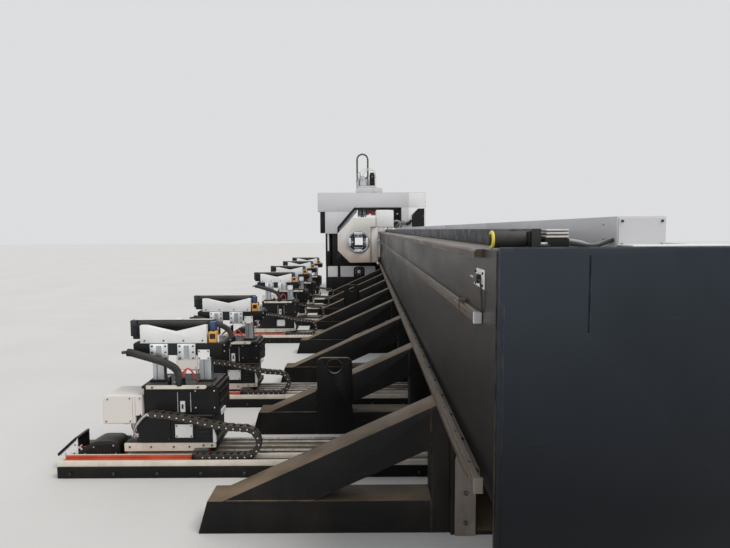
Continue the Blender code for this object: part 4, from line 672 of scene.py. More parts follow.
def makeConduits():  # ribbed hoses over the carriage's front and the tubes from the chain's upper end
    form = Form()
    form.hose("rubberBlack", [(-0.302, -0.118, 0.853), (-0.27, -0.122, 0.85), (-0.21, -0.126, 0.833),
            (-0.12, -0.126, 0.806), (-0.03, -0.126, 0.775), (0.03, -0.126, 0.735), (0.055, -0.126, 0.68),
            (0.058, -0.124, 0.632)], 76, 0.0275, 10, 0.13)
    form.hose("rubberBlack", [(-0.345, -0.112, 0.851), (-0.315, -0.116, 0.854), (-0.29, -0.12, 0.852)], 8,
            0.011, 8)
    form.rod("boreBlack", (0.058, -0.1185, 0.674), (0.058, -0.1185, 0.6187), 0.0325, 16, 0.003, 0.036)
    tubes = ("hoseGrey", 0.0), ("wireWhite", 0.014), ("rubberBlack", 0.028)
    for index, (paint, lift) in enumerate(tubes):
        form.hose(paint,
                [(-0.147, -0.155 + 0.012 * index, 0.425),
                (-0.19, -0.15 + 0.01 * index, 0.405 + lift * 0.4),
                (-0.232, -0.142 + 0.008 * index, 0.362 + lift * 0.5), (-0.268, -0.135, 0.31 + lift * 0.6),
                (-0.268, -0.128, 0.262 + lift), (-0.2485, -0.1215, 0.25 + lift)], 24, 0.0062, 6)
    for index, paint in enumerate(("wireRed", "wireBrown", "wireRed")):
        form.hose(paint, [(0.038 + 0.012 * index, -0.103, 0.637), (0.04 + 0.012 * index, -0.125, 0.65),
                (0.07 + 0.012 * index, -0.13, 0.7), (0.105, -0.118 + 0.006 * index, 0.735),
                (0.138, -0.114 + 0.006 * index, 0.712), (0.152, -0.107 + 0.005 * index, 0.672),
                (0.156, -0.08, 0.64), (0.152, 0.02 + 0.012 * index, 0.6187)], 36, 0.0042, 6)
    return form


def makeLiftHead():
    form = Form()
    small = cartLook["screw"]
    for x in cartLook["columns"]:  # grooved profile columns
        half = [(-0.04, -0.03), (-0.012, -0.03), (-0.012, -0.022), (0.012, -0.022), (0.012, -0.03),
                (0.04, -0.03), (0.04, -0.006), (0.033, -0.006), (0.033, 0.006)]
        section = half + [(-a, -b) for a, b in half]
        form.outline("profileGrey", [(x + a, 0.02 + b) for a, b in section], "Z", (0.345, 0.82), 0.0012, 1)
        form.block("satinBlack", (x - 0.052, x + 0.052), (-0.022, 0.062), (0.797, 0.8195), 0.002, 1)
    form.blocks("satinBlack", (
        ((-0.285, 0.345), (-0.07, 0.17), (0.82, 0.9045), 0.005),
        ((-0.279, 0.339), (-0.064, 0.164), (0.9047, 0.9085), 0.001, 1),
    ))
    form.screws("screwBright", small, [(x, y, 0.9085) for x in (-0.262, 0.322) for y in (0.0, 0.145)],
            (0, 0, 1))
    for x in (-0.2855, 0.3455):
        side = -1 if x < 0 else 1
        form.block("satinBlack", (x - 0.003, x + 0.003), (-0.055, 0.155), (0.829, 0.896), 0.0015, 1)
        form.screws("screwBright", small,
                [(x + side * 0.003, y, z) for y in (-0.04, 0.14) for z in (0.842, 0.884)], (side, 0, 0))
    # bearing plates with six screws each and the dark slot between them
    for low, high in ((-0.162, -0.036), (0.032, 0.158)):
        form.block("plateSilver", (low, high), (-0.086, -0.0705), (0.7885, 0.9045), 0.002)
        form.screws("screwDark", small, gridOf((low + 0.016, high - 0.016), -0.086, (0.803, 0.846, 0.889)))
        form.block("ringGrey", (low + 0.044, high - 0.044), (-0.0875, -0.0855), (0.8, 0.893), 0.001, 1)
    form.block("boreBlack", (-0.034, 0.03), (-0.0735, -0.0695), (0.827, 0.898), 0.001, 1)
    form.block("plateWhite", (0.172, 0.255), (-0.0762, -0.0702), (0.79, 0.86), 0.0015, 1)
    form.screws("screwDark", small * 0.8, gridOf((0.182, 0.245), -0.0762, (0.8, 0.85)))
    # the V plate with its shallow, slightly hollow notch
    notch = []
    for i in range(13):
        t = -1 + i / 6
        notch.append((0.01 + 0.197 * t, 1.0315 - 0.046 * (1 - (0.93 * abs(t) + 0.07 * t * t))))
    outline = [(-0.235, 0.906), (0.235, 0.906), (0.235, 1.0325), (0.207, 1.0325)]
    outline += notch[::-1] + [(-0.183, 1.0325), (-0.235, 1.0325)]
    form.outline("plateWhite", outline, "Y", (-0.0655, -0.0275), 0.0025, 2)
    form.block("satinBlack", (-0.225, 0.225), (-0.0272, -0.016), (0.906, 0.966), 0.002, 1)
    form.screws("screwDark", small * 0.9, [(x, -0.0655, 0.924) for x in (-0.205, -0.07, 0.07, 0.205)])
    # roller frame behind it, with the roller, end blocks, clip and sensor
    form.block("satinBlack", (-0.345, 0.24), (0.0725, 0.1275), (0.9085, 0.9825), 0.004)
    for low, high, top in ((-0.3595, -0.31, 1.047), (0.2045, 0.249, 1.046)):
        form.block("boreBlack", (low, high), (0.069, 0.131), (0.93, top), 0.004)
    form.rod("rubberBlack", (-0.309, 0.1, 1.018), (0.2035, 0.1, 1.018), 0.0265, 24, 0.003)
    form.block("stripCream", (-0.335, 0.243), (0.089, 0.111), (1.0465, 1.0515), 0.0015, 1)
    for x in (-0.3575, 0.2455):
        form.rod("screwBright", (x - 0.003, 0.1, 1.02), (x + 0.004, 0.1, 1.02), 0.014, 12, 0.001)
    form.block("plateWhite", (-0.03, 0.012), (0.083, 0.117), (1.0475, 1.057), 0.0015, 1)
    form.blocks("satinBlack", (
        ((-0.34, 0.24), (0.0665, 0.0725), (0.985, 1.012), 0.0015, 1),
        ((-0.3, -0.2), (0.0655, 0.0725), (0.925, 0.965), 0.0015, 1),
    ))
    form.block("deepBlue", (0.238, 0.279), (0.002, 0.058), (0.985, 1.044), 0.003, 1)
    form.block("satinBlack", (0.233, 0.297), (0.006, 0.054), (0.9085, 0.985), 0.002, 1)
    form.block("sensorOrange", (0.2475, 0.3045), (-0.0655, -0.0065), (0.9085, 0.984), 0.004, 2)
    form.block("boreBlack", (0.256, 0.296), (-0.0675, -0.065), (0.935, 0.972), 0.001, 1)
    form.rod("boreBlack", (0.276, -0.036, 0.984), (0.276, -0.036, 0.992), 0.008, 10, 0.001)
    form.block("plateSilver", (0.308, 0.322), (-0.06, 0.03), (0.9085, 0.956), 0.002, 1)
    for index, paint in enumerate(("rubberBlack", "wireRed", "wireBrown")):
        form.hose(paint, [(0.262 + 0.012 * index, -0.01, 0.925), (0.262 + 0.012 * index, 0.02, 0.917),
                (0.22 + 0.01 * index, 0.035, 0.914), (0.15, 0.02 + 0.012 * index, 0.9135),
                (0.02, 0.012 + 0.01 * index, 0.9135), (-0.16, 0.02 + 0.012 * index, 0.9135),
                (-0.235, 0.045, 0.9135)], 34, 0.0042, 6)
    return form


chainRadius = (chainLook["top"] - chainLook["sag"] - chainLook["low"]) / 2
chainLength = 2 * chainLook["bend"] - chainLook["start"] - chainLook["end"] + math.pi * chainRadius


def chainPlace(distance):  # the chain's middle line: upper run with its sag, bend, lower run
    keys = "start", "bend", "end", "low", "top", "sag"
    start, bend, end, low, top, sag = (chainLook[key] for key in keys)
    radius = chainRadius
    upper, turn = bend - start, math.pi * radius
    if distance <= upper:
        share = distance / upper
        return Vector((start + distance, 0, top - sag * (1 - math.cos(math.pi * share)) / 2))
    if distance <= upper + turn:
        angle = (distance - upper) / radius
        return Vector((bend + radius * math.sin(angle), 0, low + radius + radius * math.cos(angle)))
    return Vector((max(end, bend - (distance - upper - turn)), 0, low))


def makeChain():
    form = Form()
    y, tall = chainLook["y"], chainLook["tall"]
    count = round(chainLength / chainLook["pitch"])
    pitch = chainLength / count
    reach = pitch * 0.66
    plate = []
    for i in range(10):  # a side plate with round ends
        angle = math.tau * i / 10 + math.pi / 10
        plate.append((math.copysign(reach - tall, math.cos(angle)) + tall * math.cos(angle),
                tall * math.sin(angle)))
    link = outlineMesh(plate, "Y", (-0.0045, 0.0045), 0.0012, 1)
    bar = blockMesh((-pitch * 0.3, pitch * 0.3), (-0.0255, 0.0255), (0.0105, 0.0185), 0.0015, 1)
    pin = rodMesh((0, 0, 0), (0, -0.0022, 0), 0.0052, 8)
    for n in range(count):
        a, b = chainPlace(pitch * n), chainPlace(pitch * (n + 1))
        middle, run = (a + b) / 2, b - a
        turn = Matrix.Rotation(-math.atan2(run.z, run.x), 4, "Y")
        shift = 0.0 if n % 2 else 0.0047
        for side in (-1, 1):
            spot = middle + Vector((0, y + side * (0.0276 - shift), 0))
            form.put(link, "chainBlack", Matrix.Translation(spot) @ turn)
        spot = Matrix.Translation(middle + Vector((0, y, 0))) @ turn
        for flip in (1, -1):
            form.put(bar, "chainBlack", spot @ Matrix.Diagonal((1, 1, flip, 1)))
        form.put(pin, "pinWhite", Matrix.Translation(a + Vector((0, y - 0.0322 + shift * 0.2, 0))))
    for place, low, high in ((chainPlace(0), -0.002, 0.03), (chainPlace(chainLength), -0.03, 0.002)):
        form.block("satinBlack", (place.x + low, place.x + high), (y - 0.025, y + 0.025),
                (place.z - 0.0195, place.z + 0.0195), 0.002, 1)
    # cables seen between the links
    for index, paint in enumerate(("rubberBlack", "hoseGrey", "rubberBlack")):
        shift = Vector((0, y - 0.014 + 0.014 * index, 0))
        path = [chainPlace(chainLength * i / 60) + shift for i in range(61)]
        form.tube(paint, path, 0.0058, 6)
    return form


cartForms = (
    ("base_beam", "frame", {"Beam": makeCartBase(), "EndStop": makeCartStop(), "Drive": makeCartDrive()}),
    ("carriage", "cart_{}_slide_body",
        {"Carriage": makeCarriage(), "MotorCover": makeMotorCover(), "Conduits": makeConduits()}),
    ("lift_head", "cart_{}_lift_body", {"LiftHead": makeLiftHead()}),
    ("energy_chain", "cart_{}_chain_body", {"Chain": makeChain()}),
)
for number, y in enumerate(cartLook["places"], 1):
    for part, body, forms in cartForms:
        stands = (f"cart_{number}_{part}",)  # the first form takes the solid's place, the others join it
        for name, form in forms.items():
            form.finish(f"cart{number}{name}", body.format(number), stands, None,
                    (cartLook["saddleCentre"], y, 0))
            stands = ()
print("six carts made")


# outriggers along the bed: slanted boxes on long feet, with weld beads; two carry a lifting lug

braceLook = {"first": -6.43, "pitch": 1.5, "count": 8, "lugged": (1, 5), "toe": -1.86, "wall": -0.4003,
        "half": 0.1, "foot": 0.19, "top": 0.7997, "weld": 0.006}


def makeOutrigger(lugged):
    form = Form()
    keys = "toe", "wall", "half", "foot", "top", "weld"
    toe, wall, half, foot, top, weld = (braceLook[key] for key in keys)
    side = [(toe, 0.0), (wall, 0.0), (wall, top), (-0.5, top), (-0.5, 0.7447), (-1.72, foot),
            (-1.805, foot)]
    window = [(-1.2045, foot), (-0.5503, foot), (-0.5503, 0.4868)]
    form.outline("bedBlack", side, "Y", (-half, half), 0.006, 2, [window])
    for y in (-half - 0.001, half + 0.001):
        form.bead("bedBlack", (-1.7, y, foot), (-1.2, y, foot), weld)
        form.bead("bedBlack", (-0.551, y, 0.01), (-0.551, y, 0.18), weld)
        form.bead("bedBlack", (-0.553, y, 0.5), (-0.553, y, 0.715), weld)
    if lugged:
        lug = [(-1.315, 0.1), (-1.025, 0.1)] + arcOf((-1.075, 0.6), 0.05, 0, 90, 6) + arcOf((-1.265, 0.6),
                0.05, 90, 180, 6)
        form.outline("bedBlack", lug, "Y", (-half - 0.012, -half + 0.018), 0.003, 2,
                [circleOf((-1.17, 0.575), 0.057, 28)])
        form.bead("bedBlack", (-1.32, -half - 0.003, 0.385), (-1.32, -half - 0.003, 0.2), weld)
        form.ring("bedBlack", (-1.17, -half - 0.017, 0.575), (-1.17, -half + 0.023, 0.575), 0.068, 0.0555,
                28, 0.002)
    return form


braceForms = {lugged: makeOutrigger(lugged) for lugged in (False, True)}
for index in range(braceLook["count"]):
    place = 0, braceLook["first"] + braceLook["pitch"] * index, 0
    braceForms[index in braceLook["lugged"]].finish(f"outrigger{index + 1}Box", "frame",
            (f"outrigger_{index + 1}",), "bed_black", place)
print("outriggers made")


# bed: end plate, rails, what lies along its top, and the fittings at its near end

bedLook = {"half": 0.5, "top": 1.63, "under": 0.8, "far": 7.8, "railPitch": 0.3, "panelNear": -7.675,
        "panelFar": 5.6995}


def makeEndPlate():
    form = Form()
    outer = boxOutline(-0.5, 0.5, 0.6, 1.64)
    slit = boxOutline(-0.2235, -0.2175, 1.375, 1.617)
    form.outline("endBlue", outer, "Y", (-7.8, -7.7935), 0.002, 2, [slit])
    form.outline("endBlue", outer, "Y", (-7.7934, -7.775), 0.002, 1)
    strip = [(-0.5005, 0.62), (-0.489, 0.62), (-0.489, 1.46), (-0.4945, 1.475), (-0.5005, 1.475)]
    form.outline("endBlue", strip, "Y", (-7.8045, -7.7995), 0.0015, 1)
    form.bead("endBlue", (-0.4865, -7.7995, 0.63), (-0.4865, -7.7995, 1.46), 0.0028)
    form.bead("endBlue", (-0.497, -7.792, 1.6405), (0.497, -7.792, 1.6405), 0.003)
    form.bead("bedBlack", (-0.5005, -7.773, 0.62), (-0.5005, -7.773, 1.63), 0.004)
    form.block("coverWhite", (-0.086, 0.2465), (-7.79, -7.6765), (1.6415, 1.6475), 0.0015, 1)
    return form


def makeRail(kind):
    form = Form()
    low, high = (-7.72, 7.55) if kind == "lower" else (-7.55, 7.55)
    pitch = bedLook["railPitch"]
    bolts = [low + 0.15 + pitch * i for i in range(int((high - low) / pitch))]
    if kind == "lower":
        ledge = [(-0.5003, 0.8003), (-0.5003, 0.829), (-0.533, 0.829), (-0.555, 0.829), (-0.555, 0.8003)]
        form.outline("railRust", ledge, "Y", (low + 0.16, high), 0.002, 1)
        head = [(-0.555, 0.8295), (-0.533, 0.8295), (-0.533, 0.838), (-0.537, 0.843), (-0.537, 0.849),
                (-0.533, 0.8535), (-0.533, 0.865), (-0.555, 0.865), (-0.555, 0.8535), (-0.551, 0.849),
                (-0.551, 0.843), (-0.555, 0.838)]
        form.outline("railRust", head, "Y", (low, high), 0.001, 1)
        form.block("dustySteel", (-0.56, -0.527), (low - 0.014, low - 0.0005), (0.824, 0.878), 0.003, 1)
        for y in bolts:
            form.put(screwMesh(0.0075), "screwDark", Matrix.Translation((-0.516, y, 0.829)))
            form.rod("screwDark", (-0.544, y, 0.8645), (-0.544, y, 0.8657), 0.0065, 8)
    if kind == "middle":
        section = [(-0.5003, 1.371), (-0.5003, 1.401), (-0.51, 1.401), (-0.5155, 1.395), (-0.5175, 1.395),
                (-0.5225, 1.401), (-0.5303, 1.401), (-0.5303, 1.371), (-0.5225, 1.371), (-0.5175, 1.377),
                (-0.5155, 1.377), (-0.51, 1.371)]
        form.outline("railRust", section, "Y", (low, high), 0.0008, 1)
        form.block("profileGrey", (-0.5325, -0.5003), (low - 0.014, low - 0.0005), (1.364, 1.408), 0.003, 1)
        form.blocks("railRust", (
            ((-0.5345, -0.531), (low + 0.29, low + 0.4), (1.372, 1.4), 0.0015, 1),
            ((-0.5345, -0.5005), (low + 0.3, low + 0.33), (1.4015, 1.415), 0.002, 1),
        ))
        for y in bolts:
            form.rod("screwDark", (-0.5298, y, 1.386), (-0.5312, y, 1.386), 0.0065, 8)
    if kind == "upper":
        section = [(-0.5003, 1.63), (-0.5003, 1.598), (-0.5323, 1.598), (-0.5323, 1.6205), (-0.5225, 1.63)]
        form.outline("railRust", section, "Y", (low, high), 0.0012, 1)
        for y in bolts:
            form.rod("screwDark", (-0.5318, y, 1.61), (-0.5332, y, 1.61), 0.0065, 8)
    return form


def makeRackCover():
    form = Form()
    count, low, high = 11, bedLook["panelNear"], bedLook["panelFar"]
    length = (high - low) / count
    section = [(-0.365, 1.6303), (-0.335, 1.6303), (-0.335, 1.6965), (-0.3385, 1.7), (-0.3615, 1.7),
            (-0.365, 1.6965)]
    for i in range(count):  # lengths of channel, butted with a fine gap
        a, b = low + length * i, low + length * (i + 1) - 0.0015
        form.outline("satinBlack", section, "Y", (a, b), 0.001, 1)
        for y in (a + 0.08, (a + b) / 2, b - 0.08):
            form.rod("screwDark", (-0.3645, y, 1.655), (-0.3665, y, 1.655), 0.0075, 8, 0.0006)
    form.block("rubberBlack", (-0.3652, -0.3348), (low - 0.003, low - 0.0003), (1.6305, 1.6995), 0.0008, 1)
    return form


def makeTrunk():
    form = Form()
    count, low, high = 7, bedLook["panelNear"], bedLook["panelFar"]
    length = (high - low) / count
    for i in range(count):
        a, b = low + length * i, low + length * (i + 1) - 0.002
        form.block("portalGrey", (-0.086, 0.077), (a, b), (1.6303, 1.739), 0.003, 2)
        joint = b + 0.016 if i < count - 1 else b
        form.blocks("portalGrey", (
            ((-0.089, 0.08), (b - 0.018, joint), (1.6303, 1.7402), 0.002, 1),
            ((0.0775, 0.2465), (a, b), (1.6303, 1.6362), 0.0015, 1),
        ))
        for y in (a + 0.1, (a + b) / 2, b - 0.14):
            form.rod("screwBright", (0.16, y, 1.6358), (0.16, y, 1.6385), 0.009, 10, 0.001)
            for z in (1.665, 1.715):
                form.rod("screwBright", (-0.0855, y, z), (-0.0875, y, z), 0.006, 8, 0.0005)
    form.block("portalGrey", (-0.0815, 0.0725), (low - 0.0035, low - 0.0005), (1.635, 1.7345), 0.0012, 1)
    form.screws("screwDark", 0.0045, gridOf((-0.07, 0.061), low - 0.0035, (1.646, 1.723)))
    return form


def makeNearFittings():  # buffer with its yellow ring, clamps, corner bracket and the post plate
    form = Form()
    form.block("satinBlack", (-0.372, -0.344), (-7.66, -7.6), (1.6405, 1.692), 0.003)
    form.rod("rubberBlack", (-0.372, -7.63, 1.663), (-0.482, -7.63, 1.663), 0.0275, 24, 0.003)
    form.rod("brassYellow", (-0.482, -7.63, 1.663), (-0.491, -7.63, 1.663), 0.0305, 24, 0.002)
    form.rod("rubberBlack", (-0.491, -7.63, 1.663), (-0.499, -7.63, 1.663), 0.02, 24, 0.002)
    form.rod("satinBlack", (-0.34, -7.72, 1.6303), (-0.34, -7.72, 1.648), 0.021, 20, 0.003)
    form.rod("screwBright", (-0.34, -7.72, 1.648), (-0.34, -7.72, 1.656), 0.012, 6, 0.001)
    form.block("satinBlack", (-0.325, -0.245), (-7.69, -7.62), (1.6303, 1.668), 0.004)
    for i in range(3):
        form.block("profileGrey" if i % 2 else "stripCream", (-0.322, -0.248), (-7.692, -7.618),
                (1.67 + 0.011 * i, 1.676 + 0.011 * i), 0.0015, 1)
        form.block("satinBlack", (-0.318, -0.252), (-7.688, -7.622),
                (1.6675 + 0.011 * i, 1.671 + 0.011 * i), 0.001, 1)
    for index, paint in enumerate(("rubberBlack", "hoseGrey")):
        form.hose(paint, [(-0.247, -7.655, 1.65 + 0.012 * index), (-0.2, -7.655, 1.645 + 0.01 * index),
                (-0.15, -7.66 + 0.02 * index, 1.642), (-0.105, -7.655 + 0.02 * index, 1.655),
                (-0.0865, -7.655 + 0.02 * index, 1.662)], 26, 0.0062, 8)
    # white sensor bracket on the bed's side
    bracket = [(-7.595, 1.489), (-7.42, 1.494), (-7.42, 1.515), (-7.45, 1.522), (-7.45, 1.548),
            (-7.47, 1.558), (-7.595, 1.558)]
    form.outline("plateWhite", bracket, "X", (-0.5035, -0.5003), 0.001, 1)
    form.block("boreBlack", (-0.52, -0.5036), (-7.55, -7.49), (1.508, 1.538), 0.003, 1)
    form.rod("ringGrey", (-0.512, -7.49, 1.523), (-0.512, -7.415, 1.523), 0.007, 12, 0.001)
    form.screws("screwDark", 0.005, [(-0.5035, y, z) for y in (-7.58, -7.462) for z in (1.502, 1.545)],
            (-1, 0, 0))
    form.hose("rubberBlack", [(-0.512, -7.55, 1.52), (-0.512, -7.575, 1.515), (-0.509, -7.582, 1.47),
            (-0.5065, -7.575, 1.42), (-0.506, -7.55, 1.4045)], 22, 0.0035, 6)
    # post plate under the rail's near end, its top corner cut
    post = [(-0.4245, 0.003), (-0.31, 0.003), (-0.31, 0.535), (-0.375, 0.535), (-0.4245, 0.44)]
    form.outline("dustySteel", post, "Y", (-6.5665, -6.5505), 0.003, 2)
    for z in (0.08, 0.25, 0.42):
        form.rod("screwDark", (-0.365, -6.5665, z), (-0.365, -6.578, z), 0.013, 6, 0.0012)
    return form


def makeBedBack():  # closing plate at the far end, hatches on the service side, weld seams along the edges
    form = Form()
    half, top, under, far = (bedLook[key] for key in ("half", "top", "under", "far"))
    form.block("sideBlack", (-half + 0.035, half - 0.035), (far + 0.0003, far + 0.008),
            (under + 0.035, top - 0.035), 0.003, 2)
    bolts = gridOf((-0.43, -0.215, 0.0, 0.215, 0.43), far + 0.008, (under + 0.07, top - 0.07))
    bolts += [(x, far + 0.008, (under + top) / 2) for x in (-0.43, 0.43)]
    form.screws("screwDark", 0.014, bolts, (0, 1, 0))
    for x in (0.034 - half, half - 0.034):
        form.bead("bedBlack", (x, far + 0.002, under + 0.035), (x, far + 0.002, top - 0.035), 0.004)
    for index in range(5):
        y = -6.0 + 2.6 * index
        form.block("sideBlack", (half + 0.0003, half + 0.006), (y - 0.32, y + 0.32), (0.98, 1.42), 0.0025,
                2)
        form.screws("screwDark", 0.01,
                [(half + 0.006, y + a, z) for a in (-0.28, 0.0, 0.28) for z in (1.02, 1.38)], (1, 0, 0))
        form.bead("sideBlack", (half + 0.0005, y + 1.3, under + 0.01),
                (half + 0.0005, y + 1.3, top - 0.01), 0.004)
    return form


makeEndPlate().finish("endPlate", "frame", ("near_end_plate",), "end_plate_blue")
makeBedBack().finish("bedHatches", "frame")
for kind in ("lower", "middle", "upper"):
    makeRail(kind).finish(f"{kind}Rail", "frame", (f"{kind}_rail",), "rail_steel")
makeRackCover().finish("rackCover", "frame", ("rack_cover",), "satin_black")
makeTrunk().finish("cableTrunk", "frame", ("cable_trunk",), "cover_white")
makeNearFittings().finish("nearFittings", "frame")
print("bed dressed")


# travelling chuck: octagonal housing on its carriage, turning ring, square liner and four jaws

chuckLook = {"x": -1.08, "z": 1.38, "half": 0.535, "side": 0.32, "screw": 0.0088, "feedFront": 4.7,
        "middleBack": 5.96, "proud": 0.0295}
chuckAxis = chuckLook["x"], chuckLook["z"]


def quarterTurn(index):  # round the chucks' axis
    return Matrix.Translation((chuckLook["x"], 0, chuckLook["z"])) @ Matrix.Rotation(math.pi / 2 * index,
            4, "Y")


def makeHousing():
    form = Form()
    x, z, half, side = (chuckLook[key] for key in ("x", "z", "half", "side"))
    cut = half * math.tan(math.pi / 8)
    right, ear, low, top = x + side, -0.63, 1.7535, z + 0.63
    outer = [(right, z - half), (right, low), (ear, low), (ear, top), (x - 0.134, top),
            (x - half, z + cut), (x - half, z - cut), (x - cut, z - half)]
    # the housing's white paint carries the painted warm reflection of its finish
    form.outline("chuckWhiteWithPaintedReflection", outer, "Y", (4.712, 5.44), 0.01, 2, [circleOf((x, z), 0.274, 48)])
    inner = [(right - 0.012, z - half + 0.012), (right - 0.012, low + 0.012), (ear - 0.012, low + 0.012),
            (ear - 0.012, top - 0.012), (x - 0.128, top - 0.012), (x - half + 0.012, z + cut - 0.005),
            (x - half + 0.012, z - cut + 0.005), (x - cut + 0.005, z - half + 0.012)]
    form.outline("chuckWhiteWithPaintedReflection", inner, "Y", (4.7003, 4.7117), 0.003, 2, [circleOf((x, z), 0.276, 48)])
    form.outline("chuckWhiteWithPaintedReflection", inner, "Y", (5.4405, 5.4497), 0.003, 1, [circleOf((x, z), 0.276, 48)])
    for y, facing in ((4.7003, (0, -1, 0)), (5.4497, (0, 1, 0))):
        spots = gridOf((x - half + 0.05,), y, (z - 0.17, z + 0.17))
        spots += gridOf((x - 0.1, x + 0.06, x + 0.27), y, (z - half + 0.045, z + 0.585))
        spots += gridOf((x + 0.285,), y, (z - 0.3, z + 0.3)) + gridOf((x - 0.36,), y, (z - 0.36, z + 0.36))
        form.screws("screwBright", chuckLook["screw"], spots, facing)
    for z1 in (z - half - 0.001, top + 0.001):  # lids above and below
        form.block("chuckWhiteWithPaintedReflection", (x - 0.11, x + side - 0.03), (4.8, 5.35), (z1 - 0.003, z1 + 0.003), 0.002,
                1)
    form.block("chuckWhiteWithPaintedReflection", (x - half - 0.004, x - half + 0.002), (4.82, 5.33), (z - 0.17, z + 0.17),
            0.003, 1)
    form.screws("screwDark", 0.008,
            [(x - half - 0.004, y, z + a) for y in (4.85, 5.3) for a in (-0.14, 0.14)], (-1, 0, 0))
    return form


def makeFeedCarriage():
    form = Form()
    outer = [(-0.7597, 0.845), (-0.572, 0.845), (-0.572, 1.752), (-0.17, 1.752), (-0.17, 2.188),
            (-0.625, 2.188), (-0.625, 1.7515), (-0.7597, 1.7515)]
    form.outline("chuckWhiteWithPaintedReflection", outer, "Y", (4.765, 5.448), 0.01, 2)
    for left, right in ((-0.5715, -0.378), (-0.322, -0.18)):  # skirts down to the bed, beside the rack
        form.block("chuckWhiteWithPaintedReflection", (left, right), (4.775, 5.44), (1.643, 1.7515), 0.004, 2)
    low = [(-0.748, 0.94), (-0.66, 0.857), (-0.58, 0.857), (-0.58, 1.735), (-0.748, 1.735)]
    form.outline("chuckWhiteWithPaintedReflection", low, "Y", (4.7575, 4.7648), 0.0025, 2)
    form.outline("chuckWhiteWithPaintedReflection", [(-0.752, 0.853), (-0.672, 0.853), (-0.752, 0.928)], "Y", (4.7605, 4.7648),
            0.001, 1)
    # the plate and lid above stay plain white; the cream below is the same white paint with painted
    # reflection
    form.blocks("coverWhite", (
        ((-0.613, -0.18), (4.7575, 4.7648), (1.765, 2.178), 0.0025, 2),
        ((-0.61, -0.185), (4.8, 5.41), (2.1885, 2.1965), 0.003, 1),
    ))
    form.screws("screwBright", 0.008, gridOf((-0.735, -0.594), 4.7575, (1.0, 1.36, 1.71)))
    form.screws("screwBright", 0.008, gridOf((-0.597, -0.4, -0.198), 4.7575, (1.783, 2.16)))
    for y in (4.78, 5.29):  # guide shoes on the two rails
        form.blocks("profileGrey", (
            ((-0.5715, -0.537), (y, y + 0.15), (1.33, 1.442), 0.003),
            ((-0.5365, -0.512), (y, y + 0.15), (1.404, 1.44), 0.002, 1),
            ((-0.5365, -0.512), (y, y + 0.15), (1.332, 1.368), 0.002, 1),
            ((-0.5715, -0.513), (y, y + 0.15), (0.868, 0.955), 0.003),
        ))
        for end in (y - 0.0055, y + 0.1505):
            form.block("rubberBlack", (-0.57, -0.514), (end, end + 0.005), (0.87, 0.953), 0.0015, 1)
    return form


def makeRotor(front, back, facing):
    form = Form()
    x, z = chuckAxis
    face = front - facing * chuckLook["proud"]
    form.ring("ringGrey", (x, front - facing * 0.0005, z), (x, face, z), 0.29, 0.242, 64, 0.004)
    form.ring("boreBlack", (x, front + facing * 0.001, z), (x, front - facing * 0.0215, z), 0.2415, 0.168,
            64, 0.002)
    form.ring("boreBlack", (x, front, z), (x, back, z), 0.267, 0.165, 48, 0.002)
    depth = spanOf(front + facing * 0.02, front + facing * 0.1)
    square = boxOutline(x - 0.112, x + 0.112, z - 0.112, z + 0.112)
    form.outline("boreBlack", circleOf(chuckAxis, 0.1645, 48), "Y", depth, 0.0, 1, [square])
    lip = blockMesh((-0.112, 0.112), spanOf(front - facing * 0.0218, front - facing * 0.026),
            (0.142, 0.158), 0.001, 1)
    bars = [blockMesh((side - 0.008, side + 0.008),
            spanOf(front - facing * 0.0218, front - facing * 0.0275), (0.17, 0.238), 0.001, 1)
            for side in (-0.045, 0.045)]
    for turn in range(4):
        form.put(lip, "linerGrey" if turn % 2 else "jawWhite", quarterTurn(turn))
        for bar in bars:  # guide bars beside each jaw's key
            form.put(bar, "ringGrey", quarterTurn(turn))
    form.screws("screwDark", 0.0095, boltCircle(chuckAxis, 0.266, face, 12), (0, -facing, 0))
    return form


def addJaw(form, seat, facing, index):  # made above the axis, then turned to its place
    form.base = quarterTurn(index)
    near, deep, front = seat - facing * 0.001, seat - facing * 0.055, seat - facing * 0.0775
    form.outline("satinBlack", boxOutline(-0.034, 0.034, 0.12, 0.186), "Y",
            spanOf(near, seat - facing * 0.058), 0.003, 2)
    body = [(-0.085, 0.188), (0.085, 0.188), (0.075, 0.252), (-0.075, 0.252)]
    form.outline("satinBlack", body, "Y", spanOf(near, deep), 0.003, 2)
    plate = [(-0.088, 0.187), (0.088, 0.187), (0.106, 0.205), (0.102, 0.243), (0.094, 0.251),
            (-0.094, 0.251), (-0.102, 0.243), (-0.106, 0.205)]
    form.outline("jawWhite", plate, "Y", spanOf(seat - facing * 0.0555, front), 0.004, 2)
    form.screws("screwDark", 0.009, [(a, front, 0.219) for a in (-0.06, 0.06)], (0, -facing, 0))
    form.block("ringGrey", (-0.026, 0.026), spanOf(seat - facing * 0.0585, seat - facing * 0.064),
            (0.125, 0.18), 0.002, 1)
    form.base = None


makeHousing().finish("chuckHousing", "feed_chuck", ("feed_chuck_housing",), "cover_white")
makeFeedCarriage().finish("chuckCarriage", "feed_chuck", ("feed_carriage",), "cover_white")
feedFront, middleBack, proud = (chuckLook[key] for key in ("feedFront", "middleBack", "proud"))
makeRotor(feedFront, 5.4495, 1).finish("feedRing", "feed_rotor_body", ("feed_rotor",), "chuck_steel")
for index, where in enumerate(("top", "right", "bottom", "left")):
    jaw = Form()
    addJaw(jaw, feedFront - proud - 0.001, 1, index)
    jaw.finish(f"feedJaw{where.capitalize()}", f"jaw_{where}", (f"feed_jaw_{where}",), "jaw_white")
middle = makeRotor(middleBack, 5.7605, -1)
for index in range(4):
    addJaw(middle, middleBack + proud + 0.001, -1, index)
middle.finish("middleRing", "middle_rotor_body", ("middle_rotor",), "chuck_steel")
print("chucks made")


# portal: cover panels with seams, black edging, base boxes, hose and conduit; then the cutting axes

